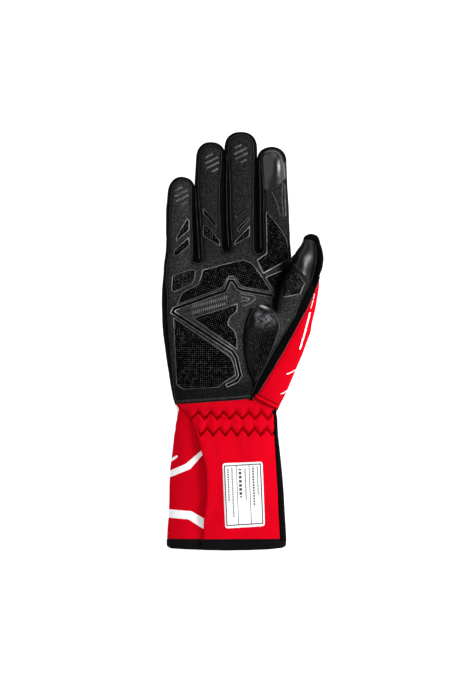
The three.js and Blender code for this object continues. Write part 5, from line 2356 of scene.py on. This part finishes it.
@dataclass
class Cuff:
    """The gauntlet below the wrist seam.

    Attributes:
        shop: shared materials and trees.
        low: where the panels start, hidden in the hem binding.
        turn: the radius of the front panel's turned edge.
        hem: Y at which the hem binding's lap is read.
        hem_points: points round the hem binding.
    """

    shop: Workshop
    low: float = HEM_TOP - 2.0
    turn: float = 1.3
    hem: float = 5.0
    hem_points: int = 520

    def build(self) -> None:
        """Builds the cuff's panels, bands, hem and label."""
        front = self._front()
        self._back()
        self._side_band()
        self._hem()
        self._label(Surface(front))

    @staticmethod
    def _angle_at(y: Array, x: Array) -> Array:
        """The direction in the section of a point on top with the given X.

        Args:
            y: places along the cuff.
            x: the points' X.

        Returns:
            The directions.
        """
        row = TRUNK.at(y)
        share = (2.0 * x - row["left"] - row["right"]) / (row["right"] - row["left"])
        return np.arccos(np.clip(signed_power(share, row["power"] / 2.0), -1.0, 1.0))

    @staticmethod
    def _low_angle(y: Array, z: float) -> Array:
        """The direction, below the thumb side, of a point with the given Z.

        Args:
            y: places along the cuff.
            z: the points' Z.

        Returns:
            The directions.
        """
        row = TRUNK.at(y)
        height = (row["top"] / 2.0 - z) / (TRUNK_DOWN * row["top"])
        return -np.arcsin(np.clip(height, 0.0, 1.0) ** (row["power"] / 2.0))

    def _fold_angle(self, y: Array) -> Array:
        """Where the front panel's free edge lies."""
        return self._angle_at(y, line_at(FOLD, y))

    def _band_angle(self, y: Array) -> Array:
        """Where the front panel meets the side band."""
        return self._angle_at(y, self._band_x(y))

    @staticmethod
    def _band_x(y: Array) -> Array:
        """X of the side band's upper edge. The band narrows towards the wrist."""
        return TRUNK.at(y)["right"] - SIDE_BAND + SIDE_BAND_TAPER * ease(y, 20.0, 95.0)

    def _side_angle(self, y: Array) -> Array:
        """Where the side band meets the back panel."""
        return self._low_angle(y, SIDE_BAND_LOW)

    def _under_angle(self, y: Array) -> Array:
        """Where the back panel ends under the front one, a full turn round."""
        return self._angle_at(y, line_at(UNDER_FOLD, y)) - 2.0 * math.pi

    @staticmethod
    def _sheet(
        start: DepthField,
        end: DepthField,
        low: float,
        cell: float,
        over: float = -GAP / 2.0,
    ) -> tuple[Array, Array]:
        """A grid of points on the cuff, row by row from the hem to the wrist seam.

        Args:
            start: the direction of the first column at each Y.
            end: the direction of the last column.
            low: Y of the first row.
            cell: the size of the grid's cells.
            over: how far the last row reaches past the wrist seam.

        Returns:
            The grid, and its outward directions.
        """
        reference = np.linspace(0.0, 1.0, 500)
        sample, wrist = np.array(HALF_WAY), np.array(WRIST_HEIGHT)
        course = trunk_points(sample, start(sample) + reference * (end(sample) - start(sample)))
        run = np.concatenate([[0.0], np.cumsum(np.linalg.norm(np.diff(course, axis=0), axis=1))])
        columns = max(4, math.ceil(run[-1] / cell))
        share = np.interp(np.linspace(0.0, run[-1], columns + 1), run, reference)
        top_x = trunk_points(wrist, start(wrist) + share * (end(wrist) - start(wrist)))[:, 0]
        top = line_at(WRIST_SEAM, top_x, along=0) + over
        rows = math.ceil((WRIST_HEIGHT - low) / cell)
        y = low + np.linspace(0.0, 1.0, rows + 1)[:, None] * (top - low)
        first, last = start(y), end(y)
        grid = trunk_points(y, first + share * (last - first))
        skin = grid_skin(grid[:, ::-1])
        facing = skin.normals().reshape(grid.shape)[:, ::-1]
        below = grid[..., 2] < MID_HEIGHT
        outward = np.where(below, -1.0, 1.0)[..., None] * np.array([0.0, 0.0, 1.0])
        turned = np.sign((facing * outward).sum()) or 1.0
        return grid, facing * turned

    @staticmethod
    def _lift(x: Array, y: Array) -> Array:
        """How far the front panel stands off the panel under its fold."""
        beside = 1.0 - ease(x - line_at(FOLD, y), 12.0, 30.0)
        return FOLD_LIFT * beside * (1.0 - ease(y, 96.0, 103.0))

    @staticmethod
    def _off_hem(y: Array) -> Array:
        """How free the cloth is of the hem, from 0 to 1."""
        return ease(y, 14.0, 30.0)

    @staticmethod
    def _drape(grid: Array, seed: float) -> Array:
        """Heights of hanging cloth, with long shallow folds along the cuff that the seed chooses."""
        flat = grid.reshape(-1, 3) * (1.0, 0.45, 1.0)
        return uneven(flat, (0.8, 15.0, seed), (0.16, 6.0, seed + 4.0)).reshape(grid.shape[:2])

    def _gathers(self, grid: Array) -> Array:
        """Height of the cloth drawn together by the two rows of elastic.

        Args:
            grid: points of the front panel.

        Returns:
            The height at each point.
        """
        x, y = grid[..., 0], grid[..., 1]
        upper, lower = ELASTIC
        lift = np.zeros(x.shape)
        for row in ELASTIC:
            gap = row.gap(x, y)
            above = gap > 0.0
            up = ABOVE.swell * np.exp(-gap / ABOVE.reach)
            down = BELOW.swell * np.exp(np.minimum(gap, 0.0) / BELOW.reach)
            lift += np.where(above, up, down)
            grooves = (side.groove * bump(gap, side.width) for side in (ABOVE, BELOW))
            lift -= np.where(above, *grooves)
        between = ease(y, lower.middle - 2.0, lower.middle + 3.0)
        between *= 1.0 - ease(y, upper.middle - 3.0, upper.middle + 2.0)
        lozenge = np.cos(2.0 * math.pi * (x - lower.peak - lower.pitch / 2.0) / lower.pitch)
        lift += between * (0.6 + 0.5 * lozenge)
        pucker = np.cos(2.0 * math.pi * (x - lower.peak) / lower.pitch)
        under = lower.middle - y
        lift += 0.55 * pucker * ease(under, -1.0, 3.0) * np.exp(-np.maximum(under, 0.0) / 9.0)
        over = y - upper.middle
        fan = np.cos(2.0 * math.pi * (x - upper.peak) / upper.pitch)
        lift -= 0.5 * fan * ease(over, -1.0, 2.5) * np.exp(-np.maximum(over, 0.0) / 5.0)
        start = ease(x - line_at(FOLD, y), 0.0, 2.6)
        end = 1.0 - ease(x - self._band_x(y), -3.0, 0.0)
        return lift * start * (0.5 + 0.5 * end)

    def _front(self) -> Skin:
        """The front panel, gathered at the wrist, with its free edge turned in.

        Returns:
            Its outer face.
        """
        grid, facing = self._sheet(self._fold_angle, self._band_angle, self.low, CUFF_CELL)
        x, y = grid[..., 0], grid[..., 1]
        lift = self._lift(x, y) + self._gathers(grid) + self._drape(grid, 1.3) * self._off_hem(y)
        roll = 1.3 * bump(x - line_at(FOLD, y) - 2.0, 4.5)
        lift += roll * ease(y, 12.0, 30.0) * (1.0 - ease(y, 84.0, 98.0))
        edge = np.minimum(np.linalg.norm(grid - grid[:, :1], axis=2), self.turn)
        lift -= self.turn * (1.0 - np.sqrt(np.clip(1.0 - (1.0 - edge / self.turn) ** 2, 0.0, 1.0)))
        skin = grid_skin((grid + facing * lift[..., None])[:, ::-1])
        skin.triangles = skin.triangles[:, ::-1] if skin.normals()[:, 2].mean() < 0 else skin.triangles
        shade = self._groove_shade(skin.points)
        publish_wall("cuff_front", skin, "red_fabric", [self.shop.shaded_red], shade)
        return skin

    def _groove_shade(self, points: Array) -> Array:
        """How light the front's cloth is painted, and how dark its painted shade is deep in the grooves of
        the elastic.

        Args:
            points: the points.

        Returns:
            The painted light and shade at each point.
        """
        x, y = points[:, 0], points[:, 1]
        shade = np.ones(len(points))
        inside = ease(x - line_at(FOLD, y), 0.0, 2.0) * (1.0 - ease(x - self._band_x(y), -2.0, 0.0))
        for row in ELASTIC:
            gap = row.gap(x, y)
            above = np.where(gap > 0.0, np.exp(-gap / 1.5), 0.0)
            shade -= inside * (1.75 * bump(gap - 0.1, 0.6) + 0.5 * above)
        return np.clip(shade, -0.85, 1.0)

    def _back(self) -> None:
        """The panel round the back of the cuff, with its printed stripes."""
        grid, facing = self._sheet(self._side_angle, self._under_angle, self.low, 0.95)
        x, y, z = np.moveaxis(grid, -1, 0)
        lift = self._drape(grid, 5.9) * self._off_hem(y) * ease(z, 0.5, 6.0)
        waist = bump(y - 98.0, 10.0) * (1.0 - ease(x, -38.0, -30.0))
        lift += 0.22 * np.sin(2.0 * math.pi * y / 9.6) * waist
        under = ease(x - line_at(FOLD, y), -15.0, -0.5) * (z > MID_HEIGHT)
        lift -= under * (0.4 + 1.5 * ease(y, 12.0, 26.0)) * (1.0 - ease(y, 94.0, 108.0))
        points = grid + facing * lift[..., None]
        points[..., 2] = np.maximum(points[..., 2], FLOOR_SKIN)
        skin = outward_skin(points)
        for outline in STRIPES:
            skin, ink = skin.divided(depth_in(outline, skin.points), 0.12)
            skin.marks = np.where(ink, 1, skin.marks)
        x, y, z = skin.points.T
        # Painted shadow on the top of the back panel, beside the front panel's free edge.
        on_top = ease(z, 10.0, 14.0) * (1.0 - ease(y, 88.0, 100.0))
        shade = 1.0 - 1.35 * on_top * np.exp(-np.maximum(line_at(FOLD, y) - x, 0.0) / 1.8)
        publish_wall("cuff_back", skin, "red_fabric", [self.shop.shaded_red, self.shop.white], shade)

    def _side_band(self) -> None:
        """The black band down the thumb side."""
        grid, facing = self._sheet(self._band_angle, self._side_angle, self.low, 0.7, 1.5)
        share = np.linspace(0.0, 1.0, grid.shape[1])[None, :]
        edge = np.minimum(share, 1.0 - share) * 14.0
        lift = 0.55 * np.sqrt(np.clip(edge / 1.2, 0.0, 1.0)) + 0.5 * self._drape(grid, 9.1)
        tuck = ease(grid[..., 1], 102.0, 108.0)
        lift = lift * (1.0 - tuck) - 0.15 * tuck
        skin = outward_skin(grid + facing * lift[..., None])
        publish_wall("side_binding", skin, "knit", [self.shop.dark_knit], wall=WALL + 0.3)

    def _hem(self) -> None:
        """The binding folded over the open end, lapped where the front panel crosses the back one."""
        start, end = (float(edge(np.array(self.hem))) for edge in (self._fold_angle, self._under_angle))
        share = np.linspace(0.0, 1.0, self.hem_points)
        angle = start + share * (end - start)
        x, y, z = trunk_points(np.full(self.hem_points, self.hem), angle).T
        lift = np.where(share < 0.5, self._lift(x, y), 0.0)
        tucked = (share >= 0.5) & (z > MID_HEIGHT)
        lift -= np.where(tucked, 0.8 * ease(x, -24.0, -17.0), 0.0)
        low = line_at(HEM_LINE, x, along=0)
        outer, inner = HEM_OUT, -WALL - HEM_OUT
        profile = (
            (1.0, 0.0), (0.97, outer * 0.8), (0.9, outer), (0.6, outer + 0.12), (0.3, outer + 0.05),
            (0.1, outer - 0.15), (0.02, outer - 0.6), (0.0, (outer + inner) / 2.0), (0.02, inner + 0.6),
            (0.1, inner + 0.15), (0.5, inner), (0.97, inner), (1.0, inner + 0.4),
        )
        rings = []
        for height, offset in profile:
            y = low + height * (HEM_TOP - low)
            ring = self._stood_off(y, angle, offset + lift)
            rings.append(np.stack([ring[:, 0], y, np.maximum(ring[:, 2], FLOOR_SKIN)], axis=1))
        sections = np.stack(rings, axis=1)
        skin = loft(sections, sections[0].mean(axis=0), sections[-1].mean(axis=0))
        publish(mesh_object("hem_binding", skin, [self.shop.knit]), "knit", "hem_binding")
        line = self._stood_off(np.full(self.hem_points, HEM_TOP - 1.3), angle, HEM_OUT + PROUD + lift)
        above = line[(line[:, 2] > 1.0) & ~tucked]
        cut = int(np.argmax(np.linalg.norm(np.diff(above, axis=0), axis=1))) + 1
        lines = [above[:cut], above[cut:]]
        self.shop.stitched("hem_stitches", "knit", lines, self.shop.knit, pitch=2.6, length=1.7, radius=0.22)

    @staticmethod
    def _stood_off(y: Array, angle: Array, offset: Array) -> Array:
        """Points round the trunk, moved out of its face. What lies on the floor goes down.

        Args:
            y: places along the glove.
            angle: directions round the section.
            offset: how far each point is moved.

        Returns:
            The moved points.
        """
        ring = trunk_points(y, angle)
        outwards = np.where(ring[:, 2:] < 0.01, (0.0, 0.0, -1.0), trunk_points(y, angle, 1.0) - ring)
        outwards /= np.maximum(np.linalg.norm(outwards, axis=1, keepdims=True), 1e-9)
        return ring + outwards * offset[:, None]

    def _label(self, ground: Surface) -> None:
        """The white label sewn on the front panel, with a border and plain ruled lines.

        Args:
            ground: the front panel's outer face.
        """
        skin, _ = laid_patch(ground, rounded(LABEL_CORNERS, 2.2), self._flat, cell=0.7, sink=0.3)
        piece = mesh_object("label", skin, [self._label_material()])
        low_left, low_right, _, high_left = np.array(LABEL_CORNERS)
        basis = np.linalg.inv(np.stack([low_right - low_left, high_left - low_left], axis=1))
        places = (skin.points[:, :2] - low_left) @ basis.T
        layer = piece.data.uv_layers.new(name="label_print")
        corners = np.empty(len(piece.data.loops), np.int32)
        piece.data.loops.foreach_get("vertex_index", corners)
        layer.data.foreach_set("uv", places[corners].ravel().astype(np.float32))
        publish(piece, "label", "label")
        inner = rounded(drawn_in(LABEL_CORNERS, 0.9), 1.8)
        line = ground.course(inner, 1.0, LABEL_HEIGHT + 0.05, closed=True)
        self.shop.stitched(
            "label_stitches", "label", [line], self.shop.white_thread, length=1.4, radius=0.18, closed=True
        )

    @staticmethod
    def _flat(depth: Array, places: Array) -> Array:
        """Height of a thin label with a soft edge."""
        del places
        return 0.15 + (LABEL_HEIGHT - 0.15) * ease(depth, -0.1, 0.9)

    def _label_material(self) -> Material:
        """White woven tape with a thin border, two dividing lines and ruled lines, all plain.

        Returns:
            The material.
        """
        material = WHITE.material(self.shop.effects)
        material.name = "label_tape"
        graph = Graph(material.node_tree)
        shader = next(node for node in graph.tree.nodes if node.type == "BSDF_PRINCIPLED")
        place = graph.out("ShaderNodeUVMap", uv_map="label_print")
        mask = None
        for across, half_width, middle, half_length, dashes in LABEL_RULES:
            drawn = graph.group(
                self.shop.effects.ruled, Vector=place, Across=across, Half_Width=half_width, Middle=middle,
                Half_Length=half_length, Dashes=dashes,
            )[0]
            mask = drawn if mask is None else graph.math("MAXIMUM", mask, drawn)
        base = shader.inputs["Base Color"].links[0].from_socket
        graph.tree.links.new(graph.mix(mask, base, LABEL_INK), shader.inputs["Base Color"])
        return material


@dataclass
class Wrist:
    """Welts over the seam between hand and cuff, and the stitching beside them.

    Attributes:
        shop: shared materials and trees.
        ground: the hand's surface.
        step: the distance between the points of a laid line.
        row: how far above the black welt's middle its stitches run.
        edges: how far to both sides of the red welt's middle its edges run.
    """

    shop: Workshop
    ground: Surface
    step: float = 0.8
    row: float = 2.6
    edges: tuple[float, float] = (1.75, -1.6)

    PALM_LINE = ((-38.4, 115.6), (2.7, 118.5), (20.2, 120.3))
    WRAP_LINE = ((22.0, 120.4), (39.6, 111.4))
    TAB = ((17.6, 116.4), (20.6, 116.8), (20.6, 122.4), (17.6, 122.2))
    RED_SEAM = ((25.2, 121.0), (32.4, 132.6), (46.3, 155.6), (56.2, 173.9), (63.8, 187.6))

    def build(self) -> None:
        """Builds both welts, the small tab and the stitches."""
        shop = self.shop
        palm, tab, wrap = (
            laid_patch(self.ground, outline, self._round)[0]
            for outline in (ribbon(self.PALM_LINE, WELT_WIDTH), self.TAB, ribbon(self.WRAP_LINE, WELT_WIDTH))
        )
        # Painted light on the palm welt's round top and painted shade along its lower edge; the tab between
        # the welts is painted in deep shade.
        over = palm.points[:, 1] - line_at(self.PALM_LINE, palm.points[:, 0], along=0)
        light_tone = 0.85 * ease(over, -0.5, 0.0) * (1.0 - ease(over, 0.9, 1.4)) - ease(-over, 0.5, 0.9)
        painted_shading = np.concatenate([light_tone, np.full(len(tab.points), -0.9)])
        publish(mesh_object("palm_welt", joined([palm, tab]), [shop.suede], painted_shading), "knit", "palm_welt")
        publish(mesh_object("wrap_welt", wrap, [shop.red]), "red_fabric", "wrap_welt")
        palm_row = self.ground.course(self._beside(self.PALM_LINE, self.row), self.step, 0.3)
        shop.stitched("palm_stitches", "knit", [palm_row], shop.black_thread)
        red_row = self.ground.course(self.RED_SEAM, self.step, PROUD)
        shop.stitched("wrap_stitches", "knit", [red_row], shop.red_thread)
        sides = (self._beside(self.WRAP_LINE, far) for far in self.edges)
        edges = [self.ground.course(side, self.step, 0.1) for side in sides]
        shop.piped("wrap_edges", "red_fabric", edges, shop.red_thread, radius=0.36, spacing=1.0)

    @staticmethod
    def _round(depth: Array, places: Array) -> Array:
        """Height of a turned edge with a round back.

        Args:
            depth: how far inside the outline points lie.
            places: not used.

        Returns:
            Their heights.
        """
        del places
        half = WELT_WIDTH / 2.0
        return WELT_HEIGHT * np.sqrt(np.clip(1.0 - (1.0 - np.minimum(depth, half) / half) ** 2, 0.0, 1.0))

    @staticmethod
    def _beside(line: Outline, distance: float) -> Array:
        """A line beside another, to its left."""
        return ribbon(line, 2.0 * distance)[len(line) :][::-1]


# Soft lamps: name, place and size in metres, and power in watts
LAMPS = (
    ("key", (1.0, 0.14, 0.72), (0.36, 0.6), 17.0),
    ("left", (-0.9, 0.3, 0.8), (1.7, 1.5), 8.2),
    ("high", (0.1, 1.0, 0.8), (0.8, 0.8), 3.4),
    ("low", (0.0, -1.0, 0.8), (0.8, 0.8), 5.2),
)


@dataclass
class Studio:
    """Pale floor, soft lights, and a camera straight above the palm.

    Attributes:
        centre: what the camera looks at, in the hand frame.
        span: the height of the picture on the glove, in millimetres.
        distance: from the camera to the glove, in metres.
        ambient: the strength of the light from all round.
        reach: from the middle of the floor to its sides, in metres.
    """

    centre: tuple[float, float, float] = (2.7, 159.8, 14.0)
    span: float = 530.5
    distance: float = 6.0
    ambient: float = 0.12
    reach: float = 2.5

    def build(self) -> None:
        """Sets up the whole studio."""
        self._floor()
        self._camera()
        self._world()
        for lamp in LAMPS:
            self._softbox(*lamp)
        scene = bpy.context.scene
        scene.view_settings.view_transform = "Standard"
        scene.view_settings.look = "None"

    def _floor(self) -> None:
        """A wide pale floor under the glove, which throws little light back."""
        mesh = bpy.data.meshes.new("floor")
        corners = [(x * self.reach, y * self.reach, 0.0) for x, y in ((-1, -1), (1, -1), (1, 1), (-1, 1))]
        mesh.from_pydata(corners, [], [(0, 1, 2, 3)])
        material = bpy.data.materials.new("pale_floor")
        material.use_nodes = True
        graph = Graph(material.node_tree)
        shader = material.node_tree.nodes["Principled BSDF"]
        shader.inputs["Base Color"].default_value = (0.5, 0.5, 0.5, 1.0)
        shader.inputs["Roughness"].default_value = 0.9
        shader.inputs["Specular IOR Level"].default_value = 0.1
        shader.inputs["Emission Color"].default_value = (1.0, 1.0, 1.0, 1.0)
        bounced = graph.add("ShaderNodeLightPath").outputs["Is Diffuse Ray"]
        glow = graph.math("MULTIPLY_ADD", bounced, -0.75, 1.0)
        graph.tree.links.new(glow, shader.inputs["Emission Strength"])
        mesh.materials.append(material)
        floor = added("floor", mesh)

    def _camera(self) -> None:
        """A long lens straight above, with the fingers up."""
        data = bpy.data.cameras.new("camera")
        data.sensor_width = 36.0
        data.lens = 0.5 * data.sensor_width * self.distance / (self.span * MM / 2.0)
        data.clip_end = 20.0
        camera = added("camera", data)
        place = (np.array(self.centre) - ORIGIN) * MM
        camera.location = (place[0], place[1], place[2] + self.distance)
        bpy.context.scene.camera = camera

    def _world(self) -> None:
        """Even, pale light from all round."""
        world = bpy.data.worlds.new("studio")
        bpy.context.scene.world = world
        world.use_nodes = True
        background = world.node_tree.nodes["Background"]
        background.inputs["Color"].default_value = (1.0, 1.0, 1.0, 1.0)
        background.inputs["Strength"].default_value = self.ambient

    @staticmethod
    def _softbox(
        name: str, place: tuple[float, float, float], size: tuple[float, float], power: float
    ) -> None:
        """Adds a rectangular lamp that faces the glove.

        Args:
            name: its name.
            place: where it stands, in metres.
            size: its width and height.
            power: its power in watts.
        """
        data = bpy.data.lights.new(name, "AREA")
        data.shape = "RECTANGLE"
        data.size, data.size_y = size
        data.energy = power
        lamp = added(name, data)
        lamp.location = place
        lamp.rotation_euler = (-Vector(place)).to_track_quat("-Z", "Y").to_euler()


def main() -> None:
    """Builds the studio and the glove."""
    logging.basicConfig(level=logging.INFO, format="%(name)s: %(message)s")
    Studio().build()
    shop = Workshop.opened()
    ground = Hand(shop).build()
    Grips(shop, ground).build()
    Wrist(shop, ground).build()
    Cuff(shop).build()


if __name__ == "__main__":
    main()
